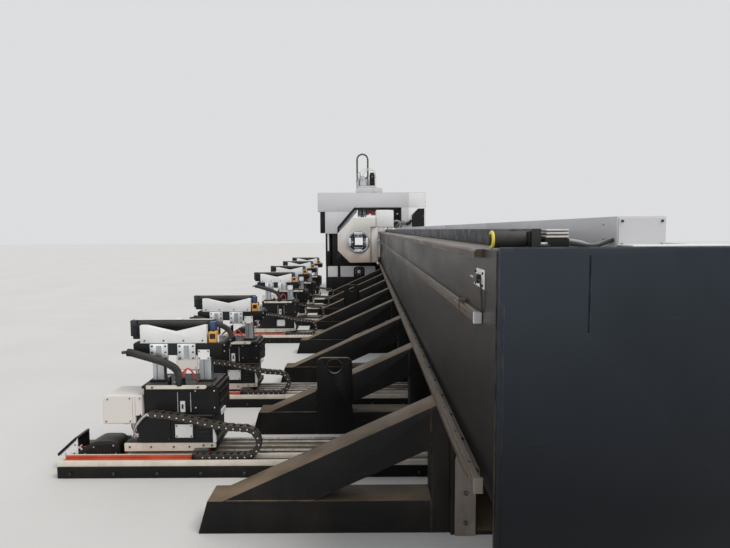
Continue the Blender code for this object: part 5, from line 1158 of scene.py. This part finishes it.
portalLook = {"front": 5.7, "back": 6.9, "left": -2.195, "right": 0.757, "top": 2.7, "clear": 2.3,
        "seam": 0.286, "screw": 0.008, "slideX": -0.985, "slideY": 6.25, "seat": 2.7003,
        "pole": (-0.14, 0.2), "archFoot": 0.382, "archRadius": 0.1525, "archRise": 0.9875}


def makePortalSkins():
    form = Form()
    left, right, top, clear, seam = (portalLook[key] for key in ("left", "right", "top", "clear", "seam"))
    for y, step in ((portalLook["front"], -1), (portalLook["back"], 1)):
        ends = spanOf(y + step * 0.0003, y + step * 0.006)
        # one white cover paint on all skins: painted grey for shade left of the seam, lit white right of it
        beam = [(left + 0.004, 2.194), (-1.297, 2.194), (-1.203, 2.304), (seam - 0.003, 2.304),
                (seam - 0.003, top - 0.004), (left + 0.004, top - 0.004)]
        form.outline("portalGrey", beam, "Y", ends, 0.0025, 2)
        leg = [(-1.996, 1.594), (-1.674, 1.594), (-1.674, 1.765), (-1.312, 2.1865), (-1.996, 2.1865)]
        form.outline("portalGrey", leg, "Y", ends, 0.0025, 2)
        for a, b, low, high, paint in (
                (seam + 0.003, right - 0.004, clear + 0.004, top - 0.004, "coverWhite"),
                (0.098, seam - 0.003, 1.636, 2.296, "portalGrey"),
                (seam + 0.003, right - 0.004, 1.636, 2.296, "coverWhite")):
            form.outline(paint, boxOutline(a, b, low, high), "Y", ends, 0.0025, 2)
        spots = [(x, 2.665) for x in (-2.15, -1.6, -1.05, -0.5, 0.05, 0.25, 0.32, 0.72)]
        spots += [(-2.15, 2.235), (-1.95, 2.15), (-1.95, 1.63), (-1.72, 1.63), (0.13, 1.67), (0.25, 2.26),
                (0.72, 2.34)]
        form.screws("screwBright", portalLook["screw"], [(x, y + step * 0.006, z) for x, z in spots],
                (0, step, 0))
    for x in (left - 0.0003, right + 0.0003):  # end skins with a door and its hinges
        step = -1 if x < 0 else 1
        ends = spanOf(x, x + step * 0.006)
        # left end grey as painted shade, right end lit white
        if x < 0:
            form.blocks("portalGrey", (
                (ends, (5.706, 6.894), (2.194, 2.696), 0.0025, 2),
                ((-2.0065, -2.0003), (5.706, 6.894), (1.594, 2.1865), 0.0025, 2),
            ))
        else:
            form.blocks("coverWhite", (
                (ends, (5.706, 6.894), (1.636, 2.696), 0.0025, 2),
                ((x + 0.006, x + 0.012), (5.83, 6.55), (1.7, 2.55), 0.0025, 2),
            ))
            for z in (1.82, 2.12, 2.43):
                form.rod("screwBright", (x + 0.014, 5.825, z), (x + 0.014, 5.825, z + 0.07), 0.009, 12,
                        0.001)
            form.rod("satinBlack", (x + 0.012, 6.47, 2.12), (x + 0.034, 6.47, 2.12), 0.02, 20, 0.002)
            for i in range(8):
                form.block("boreBlack", (x + 0.0115, x + 0.0145), (5.95, 6.35),
                        (2.4 + 0.014 * i, 2.406 + 0.014 * i), 0.001, 1)
    for a, b in ((left + 0.004, -1.262), (-0.708, right - 0.004)):  # roof panels beside the slide
        form.blocks("portalGrey", (
            ((a, b), (5.706, 5.945), (2.7003, 2.706), 0.0025, 2),
            ((a, b), (6.56, 6.894), (2.7003, 2.706), 0.0025, 2),
        ))
    form.blocks("portalGrey", (
        ((left + 0.004, -1.45), (5.951, 6.554), (2.7003, 2.706), 0.0025, 2),
        ((0.02, right - 0.004), (5.951, 6.554), (2.7003, 2.706), 0.0025, 2),
    ))
    return form


def makePortalEdging():  # black band round the opening, grey strip on its slant, dark box beside the left leg
    form = Form()
    slant = [(-1.6695, 1.6), (-1.618, 1.6), (-1.618, 1.715), (-1.19, 2.228), (-1.19, 2.297),
            (-1.2115, 2.2975), (-1.6695, 1.764)]
    form.outline("satinBlack", slant, "Y", (5.7005, 5.74), 0.002, 1)
    strip = [(-1.64, 1.64), (-1.585, 1.64), (-1.13, 2.185), (-1.13, 2.25), (-1.175, 2.25), (-1.64, 1.71)]
    form.outline("linerGrey", strip, "Y", (5.741, 5.775), 0.002, 1)
    form.block("satinBlack", (-1.185, 0.0), (5.7005, 5.8), (2.236, 2.2975), 0.003, 2)
    corner = [(-0.13, 1.8), (0.0915, 1.8), (0.0915, 2.2965), (-0.22, 2.2965), (-0.22, 2.235),
            (-0.145, 2.205), (-0.13, 2.15)]
    form.outline("satinBlack", corner, "Y", (5.81, 5.89), 0.003, 2)
    form.block("satinBlack", (0.045, 0.0925), (5.7005, 5.8095), (1.8, 2.2355), 0.003, 1)
    form.rod("plateWhite", (-0.012, 5.81, 2.125), (-0.012, 5.798, 2.125), 0.021, 20, 0.002)
    form.block("satinBlack", (-2.15, -2.0075), (5.83, 6.78), (1.6, 2.185), 0.005, 2)
    form.screws("screwBright", 0.007, gridOf((-2.135, -2.03), 5.83, (1.62, 2.16)))
    for i in range(10):
        form.block("boreBlack", (-2.1515, -2.1495), (6.1, 6.5), (1.75 + 0.02 * i, 1.759 + 0.02 * i),
                0.0008, 1)
    return form


def makeColumn():  # support column left of the fixed chuck, with a pale strip down its front
    form = Form()
    form.block("bedBlack", (-2.0, -1.87), (5.74, 6.9), (0.6903, 1.5897), 0.005, 2)
    form.block("coverWhite", (-1.945, -1.905), (5.7335, 5.7395), (1.11, 1.58), 0.002, 1)
    form.block("satinBlack", (-1.8695, -1.8155), (5.97, 5.99), (0.7, 1.585), 0.002, 1)
    form.screws("screwDark", 0.01, [(-1.93, 5.74, z) for z in (0.74, 0.9, 1.05)])
    return form


def makeMiddlePlate():
    form = Form()
    outer = [(-1.815, 0.6903), (-0.585, 0.6903), (-0.585, 1.93), (-1.31, 1.93), (-1.59, 1.5897),
            (-1.815, 1.5897)]
    hole = circleOf(chuckAxis, 0.2735, 48)
    form.outline("bedBlack", outer, "Y", (5.76, 5.96), 0.006, 2, [hole])
    form.screws("screwDark", 0.011, boltCircle(chuckAxis, 0.345, 5.76, 16))
    form.screws("screwDark", 0.011, boltCircle(chuckAxis, 0.345, 5.96, 16), (0, 1, 0))
    form.screws("screwDark", 0.011, boltCircle(chuckAxis, 0.43, 5.76, 8))
    form.blocks("satinBlack", (
        ((-1.7, -1.5), (5.752, 5.7598), (0.78, 1.05), 0.003, 2),
        ((-0.8, -0.66), (5.752, 5.7598), (0.78, 1.05), 0.003, 2),
    ))
    return form


def makePortalBase():
    form = Form()
    form.blocks("bedBlack", (
        ((-2.0, -0.4003), (5.75, 6.9), (0.0, 0.385), 0.006, 2),
        ((-2.0, -0.4003), (5.8, 6.9), (0.3855, 0.69), 0.006, 2),
    ))
    for left, right, paint in ((-1.945, -1.67, "coverWhite"), (-1.595, -0.62, "portalGrey")):
        form.block(paint, (left, right), (5.752, 5.799), (0.39, 0.687), 0.008, 2)
        form.block(paint, (left + 0.02, right - 0.02), (5.7475, 5.7518), (0.41, 0.667), 0.002, 1)
        form.screws("screwDark", 0.007, gridOf((left + 0.034, right - 0.034), 5.7475, (0.425, 0.652)))
    hub = chuckLook["x"], 0.5385
    shield = [(hub[0] - 0.15, 0.392)] + arcOf((hub[0] - 0.07, 0.595), 0.08, 180, 90, 6)
    shield += arcOf((hub[0] + 0.07, 0.595), 0.08, 90, 0, 6) + [(hub[0] + 0.15, 0.392)]
    form.outline("satinBlack", shield[::-1], "Y", (5.7255, 5.7473), 0.004, 2)
    form.outline("satinBlack", circleOf(hub, 0.133, 40), "Y", (5.712, 5.7253), 0.005, 2)
    form.ring("boreBlack", (hub[0], 5.7115, hub[1]), (hub[0], 5.703, hub[1]), 0.118, 0.07, 40, 0.002)
    form.rod("coverWhite", (hub[0], 5.7115, hub[1]), (hub[0], 5.674, hub[1]), 0.045, 28, 0.005)
    form.rod("ringGrey", (hub[0], 5.674, hub[1]), (hub[0], 5.664, hub[1]), 0.018, 16, 0.002)
    form.screws("screwBright", 0.008, boltCircle(hub, 0.098, 5.703, 8))
    for x in (-1.85, -1.35, -0.85):
        form.bead("bedBlack", (x, 5.749, 0.02), (x, 5.749, 0.36), 0.005)
    return form


def makeSideBox():  # box, conduit and coiled hose on the right leg
    form = Form()
    outer = [(0.362, 1.7513), (0.718, 1.7513), (0.718, 2.269), (0.541, 2.269), (0.362, 2.092)]
    form.outline("satinBlack", outer, "Y", (5.6, 5.6935), 0.006, 2)
    door = [(0.382, 1.771), (0.698, 1.771), (0.698, 2.249), (0.549, 2.249), (0.382, 2.084)]
    form.outline("satinBlack", door, "Y", (5.594, 5.5998), 0.002, 1)
    form.screws("screwBright", 0.007, gridOf((0.4, 0.68), 5.594, (1.79, 2.06)))
    form.hose("rubberBlack", [(0.37, 5.645, 1.93), (0.32, 5.64, 1.885), (0.26, 5.63, 1.85),
            (0.21, 5.63, 1.86)], 40, 0.045, 12, 0.14)
    form.rod("satinBlack", (0.372, 5.645, 1.932), (0.345, 5.643, 1.908), 0.052, 18, 0.004)
    form.hose("hoseGrey", [(0.21, 5.63, 1.86), (0.15, 5.63, 1.885), (0.08, 5.63, 1.88), (0.0, 5.625, 1.85),
            (-0.06, 5.62, 1.8)], 64, 0.052, 12, 0.16)
    for index, (radius, paint) in enumerate(((0.098, "hoseGrey"), (0.066, "rubberBlack"))):
        ring = [(-0.045 + radius * math.cos(a), 5.615 - 0.02 * index, 1.835 + radius * math.sin(a))
                for a in (math.tau * i / 64 for i in range(65))]
        form.tube(paint, ring, 0.024 - 0.004 * index, 10, 0.12)
    form.rod("satinBlack", (-0.045, 5.66, 1.835), (-0.045, 5.575, 1.835), 0.04, 20, 0.003)
    form.blocks("satinBlack", (
        ((-0.08, 0.0915), (5.66, 5.6935), (1.8, 1.87), 0.003, 1),
        ((0.0, 0.09), (5.665, 5.6935), (1.6305, 1.8), 0.003, 1),
    ))
    return form


def makeCrossSlide():
    form = Form()
    x0, y0, z0 = portalLook["slideX"], portalLook["slideY"], portalLook["seat"]
    bore = boxOutline(-0.0712, 0.0712, -0.0712, 0.0712)
    form.outline("portalGrey", boxOutline(-0.12, 0.3, -0.3, 0.3), "Z", (0.0, 0.165), 0.006, 2, [bore])
    form.outline("portalGrey", boxOutline(-0.12, 0.4, -0.292, 0.292), "Z", (0.166, 0.209), 0.008, 2, [bore])
    end = [(0.3005, 0.0), (0.57, 0.0), (0.57, 0.12), (0.545, 0.15), (0.455, 0.1655), (0.3005, 0.1655)]
    form.outline("portalGrey", end, "Y", (-0.3, 0.3), 0.006, 2)
    left = [(-0.19, 0.0), (-0.1205, 0.0), (-0.1205, 0.14), (-0.135, 0.14), (-0.17, 0.11)]
    form.outline("portalGrey", left, "Y", (-0.3, 0.1), 0.004, 2)
    form.outline("mintWhite", boxOutline(-0.12, 0.12, -0.12, 0.12), "Z", (0.2095, 0.43), 0.006, 2, [bore])
    form.outline("portalGrey", boxOutline(-0.112, 0.112, -0.112, 0.112), "Z", (0.431, 0.46), 0.004, 2,
            [bore])
    form.blocks("mintWhite", (
        ((0.1205, 0.2), (-0.1, 0.1), (0.2095, 0.44), 0.005, 2),
        ((-0.105, -0.02), (-0.1265, -0.1205), (0.235, 0.41), 0.002, 1),
    ))
    form.block("portalGrey", (0.0, 0.1), (-0.1265, -0.1205), (0.235, 0.41), 0.002, 1)
    form.screws("screwDark", 0.006, gridOf((-0.095, -0.03, 0.01, 0.09), -0.1265, (0.25, 0.395)))
    form.screws("screwDark", 0.007, gridOf((-0.09, 0.1, 0.27, 0.34, 0.53), -0.3, (0.03,)))
    # white pole on its foot, with a dark band
    form.block("portalGrey", (-0.22, -0.1215), (0.12, 0.28), (0.0, 0.0295), 0.004, 2)
    pole = portalLook["pole"]
    form.rod("plateWhite", (*pole, 0.03), (*pole, 0.368), 0.034, 20, 0.004)
    form.rod("satinBlack", (*pole, 0.3685), (*pole, 0.3795), 0.04, 20, 0.002)
    # cables and hoses round the tower
    runs = (("wireWhite", 0.011, [(0.03, -0.135, 0.38), (0.02, -0.16, 0.5), (0.09, -0.17, 0.62),
            (0.22, -0.16, 0.66), (0.36, -0.14, 0.6), (0.385, -0.11, 0.45), (0.39, -0.1, 0.3),
            (0.38, -0.1, 0.21)]),
            ("wireWhite", 0.009, [(-0.06, -0.13, 0.4), (-0.08, -0.17, 0.52), (0.0, -0.18, 0.64),
            (0.14, -0.17, 0.7), (0.3, -0.15, 0.68), (0.37, -0.12, 0.56), (0.37, -0.1, 0.44)]),
            ("rubberBlack", 0.013, [(-0.055, -0.13, 0.4), (-0.07, -0.165, 0.36), (-0.082, -0.175, 0.28),
            (-0.075, -0.16, 0.225), (-0.05, -0.14, 0.222)]),
            ("rubberBlack", 0.016, [(0.1, -0.135, 0.43), (0.135, -0.15, 0.46), (0.165, -0.15, 0.38),
            (0.165, -0.14, 0.28), (0.17, -0.13, 0.224)]),
            ("hoseGrey", 0.01, [(-0.04, -0.12, 0.45), (-0.05, -0.15, 0.56), (-0.1, -0.12, 0.6),
            (-0.14, -0.05, 0.52), (-0.15, 0.02, 0.36), (-0.14, 0.06, 0.145)]))
    for paint, radius, points in runs:
        form.hose(paint, points, 60, radius, 8, 0.1 if paint == "hoseGrey" else 0.0)
    form.shape.transform(Matrix.Translation((x0, y0, z0)))
    return form


def makeMotor():
    form = Form()
    x0, y0, z0 = portalLook["slideX"] + 0.285, portalLook["slideY"], portalLook["seat"] + 0.2103
    form.block("ringGrey", (-0.0775, 0.0775), (-0.0775, 0.0775), (0.0, 0.022), 0.004, 2)
    form.block("satinBlack", (-0.0765, 0.0765), (-0.0765, 0.0765), (0.0225, 0.168), 0.01, 3)
    for i in range(6):
        form.block("satinBlack", (-0.0785, 0.0785), (-0.0785, 0.0785), (0.04 + 0.02 * i, 0.046 + 0.02 * i),
                0.0015, 1)
    form.block("satinBlack", (-0.0745, 0.0745), (-0.0745, 0.0745), (0.1685, 0.335), 0.014, 3)
    form.rod("boreBlack", (0, 0, 0.3355), (0, 0, 0.388), 0.062, 32, 0.01)
    form.block("boreBlack", (-0.02, 0.03), (-0.103, -0.0748), (0.2, 0.26), 0.005, 2)
    form.rod("ringGrey", (0.005, -0.088, 0.26), (0.005, -0.088, 0.292), 0.013, 14, 0.002)
    form.screws("screwBright", 0.006, [(a, b, 0.335) for a in (-0.06, 0.06) for b in (-0.06, 0.06)],
            (0, 0, 1))
    form.shape.transform(Matrix.Translation((x0, y0, z0)))
    return form


def makeArch():  # energy chain standing in an arch from the pole's top to the slide
    form = Form()
    poleX, poleY = portalLook["pole"]
    x0, y0, z0 = portalLook["slideX"] + poleX, portalLook["slideY"] + poleY, portalLook["seat"]
    foot, radius, rise = (portalLook[key] for key in ("archFoot", "archRadius", "archRise"))
    points = [(0.0, foot + 0.0302 * i) for i in range(21)]
    points += [(radius - radius * math.cos(math.pi * i / 14), rise + radius * math.sin(math.pi * i / 14))
            for i in range(1, 15)]
    points += [(2 * radius, rise - 0.03 * i) for i in range(1, 26)]
    bar = blockMesh((-0.0115, 0.0115), (-0.024, 0.024), (-0.0245, 0.0245), 0.004, 1)
    slim = blockMesh((-0.016, 0.016), (-0.019, 0.019), (-0.02, 0.02), 0.003, 1)
    pin = rodMesh((0, -0.024, 0), (0, -0.0262, 0), 0.005, 8)
    for (a, b), (c, d) in zip(points, points[1:]):
        turn = Matrix.Rotation(-math.atan2(d - b, c - a), 4, "Y")
        spot = Matrix.Translation(((a + c) / 2, 0, (b + d) / 2))
        form.put(bar, "chainBlack", spot @ turn)
        form.put(slim, "chainBlack", spot @ turn)
        form.put(pin, "pinWhite", spot @ turn)
    form.shape.transform(Matrix.Translation((x0, y0, z0)))
    return form


def makeRam():
    form = Form()
    x0, y0 = portalLook["slideX"], portalLook["slideY"]
    form.block("portalGrey", (x0 - 0.0685, x0 + 0.0685), (y0 - 0.0685, y0 + 0.0685), (2.2803, 3.192),
            0.005, 2)
    form.block("satinBlack", (x0 - 0.062, x0 + 0.062), (y0 - 0.062, y0 + 0.062), (3.1922, 3.2), 0.004, 2)
    for x in (-0.045, 0.045):
        form.block("groundSteel", (x0 + x - 0.009, x0 + x + 0.009), (y0 - 0.0705, y0 - 0.068),
                (2.32, 3.16), 0.001, 1)
    return form


def makeHead():  # cutting head: twin barrels on a block, collar, nozzle, red and blue fittings
    form = Form()
    x0, y0 = portalLook["slideX"], portalLook["slideY"]
    form.block("headCyan", (-0.128, 0.128), (-0.06, 0.115), (2.085, 2.2795), 0.008, 2)
    for x in (-0.066, 0.062):
        form.rod("headCyan", (x, -0.062, 2.075), (x, -0.062, 2.272), 0.052, 28, 0.006)
        form.ring("ringGrey", (x, -0.062, 2.12), (x, -0.062, 2.135), 0.055, 0.05, 28, 0.002)
        form.ring("ringGrey", (x, -0.062, 2.215), (x, -0.062, 2.23), 0.055, 0.05, 28, 0.002)
    form.block("deepBlue", (-0.012, 0.008), (-0.11, -0.06), (2.09, 2.26), 0.003, 1)
    form.rod("ringGrey", (0, 0, 2.0845), (0, 0, 2.04), 0.055, 28, 0.004)
    form.rod("headCyan", (0, 0, 2.0395), (0, 0, 1.942), 0.0345, 28, 0.003)
    form.rod("brassYellow", (0, 0, 1.9415), (0, 0, 1.9), 0.028, 24, 0.001, 0.014)
    form.rod("groundSteel", (0, 0, 1.8995), (0, 0, 1.8715), 0.013, 20, 0.001, 0.0075)
    form.rods("wireRed", (
        ((-0.1, -0.02, 2.084), (-0.1, -0.02, 2.055), 0.014, 14, 0.002),
        ((0.095, 0.0, 2.084), (0.095, 0.0, 2.05), 0.014, 14, 0.002),
    ))
    form.hose("wireRed", [(-0.1, -0.02, 2.056), (-0.105, -0.02, 2.02), (-0.07, -0.02, 1.99),
            (-0.033, -0.01, 1.985)], 20, 0.007, 8)
    form.hose("deepBlue", [(0.095, 0.0, 2.051), (0.1, 0.0, 2.01), (0.07, 0.0, 1.985), (0.033, 0.0, 1.99)],
            20, 0.007, 8)
    form.screws("screwDark", 0.005, gridOf((-0.121, 0.121), -0.06, (2.1, 2.265)))
    form.shape.transform(Matrix.Translation((x0, y0, 0)))
    return form


def makeServiceBlocks():  # red service blocks fixed under the beam at both sides of the head's path
    form = Form()
    for left, right, low, paint in ((-1.25, -1.165, 2.13, "wireRed"), (-0.86, -0.795, 2.1, "deepRed"),
            (-0.785, -0.75, 2.12, "wireRed"), (-0.74, -0.6, 2.09, "deepRed")):
        form.block(paint, (left, right), (5.86, 5.93), (low, 2.298), 0.006, 2)
        form.screws("screwBright", 0.005, [((left + right) / 2, 5.86, z) for z in (low + 0.02, 2.27)])
    form.blocks("satinBlack", (
        ((-0.88, -0.58), (5.9305, 5.95), (2.14, 2.298), 0.003, 1),
        ((-1.27, -1.15), (5.9305, 5.95), (2.16, 2.298), 0.003, 1),
    ))
    return form


makePortalSkins().finish("portalSkins", "frame", (), "cover_white")
makePortalEdging().finish("portalEdging", "frame", ("portal_lining",), "satin_black")
makeColumn().finish("portalColumn", "frame", ("portal_column",), "bed_black")
makeMiddlePlate().finish("middlePlate", "frame", ("middle_chuck_plate",), "bed_black")
makePortalBase().finish("portalBase", "frame", ("portal_base",), "bed_black")
makeSideBox().finish("sideBoxAndHose", "frame")
makeCrossSlide().finish("crossSlide", "cross_slide_body", ("cross_slide",), "cover_white")
makeMotor().finish("zMotor", "cross_slide_body", ("z_motor",))
makeArch().finish("cableArch", "cross_slide_body", ("cable_arch",), "chain_black")
makeRam().finish("zRam", "ram_body", ("z_ram",), "cover_white")
makeHead().finish("cuttingHead", "ram_body", ("cutting_head",))
makeServiceBlocks().finish("serviceBlocks", "frame")
print("portal and cutting axes made")


# stage, light and camera

view = {"camera": (-0.915, -9.49, 1.7), "lens": 27.12, "pitchDown": 4.63, "roll": -0.3,
        "floor": (0.6, 0.585, 0.565), "backdrop": (0.72, 0.725, 0.735), "ambient": 0.75, "key": 1.6,
        "fill": 0.5}

floorShape = bmesh.new()
bmesh.ops.create_grid(floorShape, x_segments=1, y_segments=1, size=60)
floorMesh = bpy.data.meshes.new("floor")
floorShape.to_mesh(floorMesh)
floor = bpy.data.objects.new("floor", floorMesh)
bpy.context.scene.collection.objects.link(floor)
floorPaint = bpy.data.materials.new("floorPale")
floorPaint.use_nodes = True
floorTree = floorPaint.node_tree
floorShade = mixOf(floorTree, rangeOf(floorTree, noiseOf(floorTree, 0.8, 5.0), 0.35, 0.65), view["floor"],
        tuple(0.95 * part for part in view["floor"]))
floorTree.links.new(floorShade, floorTree.nodes["Principled BSDF"].inputs["Base Color"])
floorTree.nodes["Principled BSDF"].inputs["Roughness"].default_value = 0.8
floorMesh.materials.append(floorPaint)

camera = bpy.data.objects.new("camera", bpy.data.cameras.new("camera"))
bpy.context.scene.collection.objects.link(camera)
camera.data.lens = view["lens"]
camera.data.sensor_width = 36
camera.data.clip_start = 0.05
camera.data.clip_end = 200
tilt = Matrix.Rotation(math.radians(90 - view["pitchDown"]), 4, "X")
roll = Matrix.Rotation(math.radians(view["roll"]), 4, "Z")
camera.matrix_world = Matrix.Translation(view["camera"]) @ tilt @ roll
bpy.context.scene.camera = camera

world = bpy.data.worlds.new("studio")
world.use_nodes = True
worldTree = world.node_tree
light = worldTree.nodes["Background"]
light.inputs["Color"].default_value = 0.93, 0.96, 1.0, 1
light.inputs["Strength"].default_value = view["ambient"]
seen = addNode(worldTree, "ShaderNodeBackground", Strength=1.0)
seen.inputs["Color"].default_value = *view["backdrop"], 1
path = addNode(worldTree, "ShaderNodeLightPath")
blend = addNode(worldTree, "ShaderNodeMixShader")
worldTree.links.new(path.outputs["Is Camera Ray"], blend.inputs[0])
worldTree.links.new(light.outputs[0], blend.inputs[1])
worldTree.links.new(seen.outputs[0], blend.inputs[2])
worldTree.links.new(blend.outputs[0], worldTree.nodes["World Output"].inputs["Surface"])
bpy.context.scene.world = world


def addSun(name, strength, spread, color, direction):
    lamp = bpy.data.objects.new(name, bpy.data.lights.new(name, "SUN"))
    lamp.data.energy = strength
    lamp.data.angle = math.radians(spread)
    lamp.data.color = color
    lamp.rotation_euler = Vector(direction).to_track_quat("-Z", "Y").to_euler()
    bpy.context.scene.collection.objects.link(lamp)


addSun("keySun", view["key"], 24, (1.0, 0.97, 0.93), (-0.55, 0.35, -1.0))
addSun("fillSun", view["fill"], 40, (0.92, 0.96, 1.0), (0.35, 0.9, -0.2))
bpy.context.scene.view_settings.view_transform = "Standard"

print("scene done")
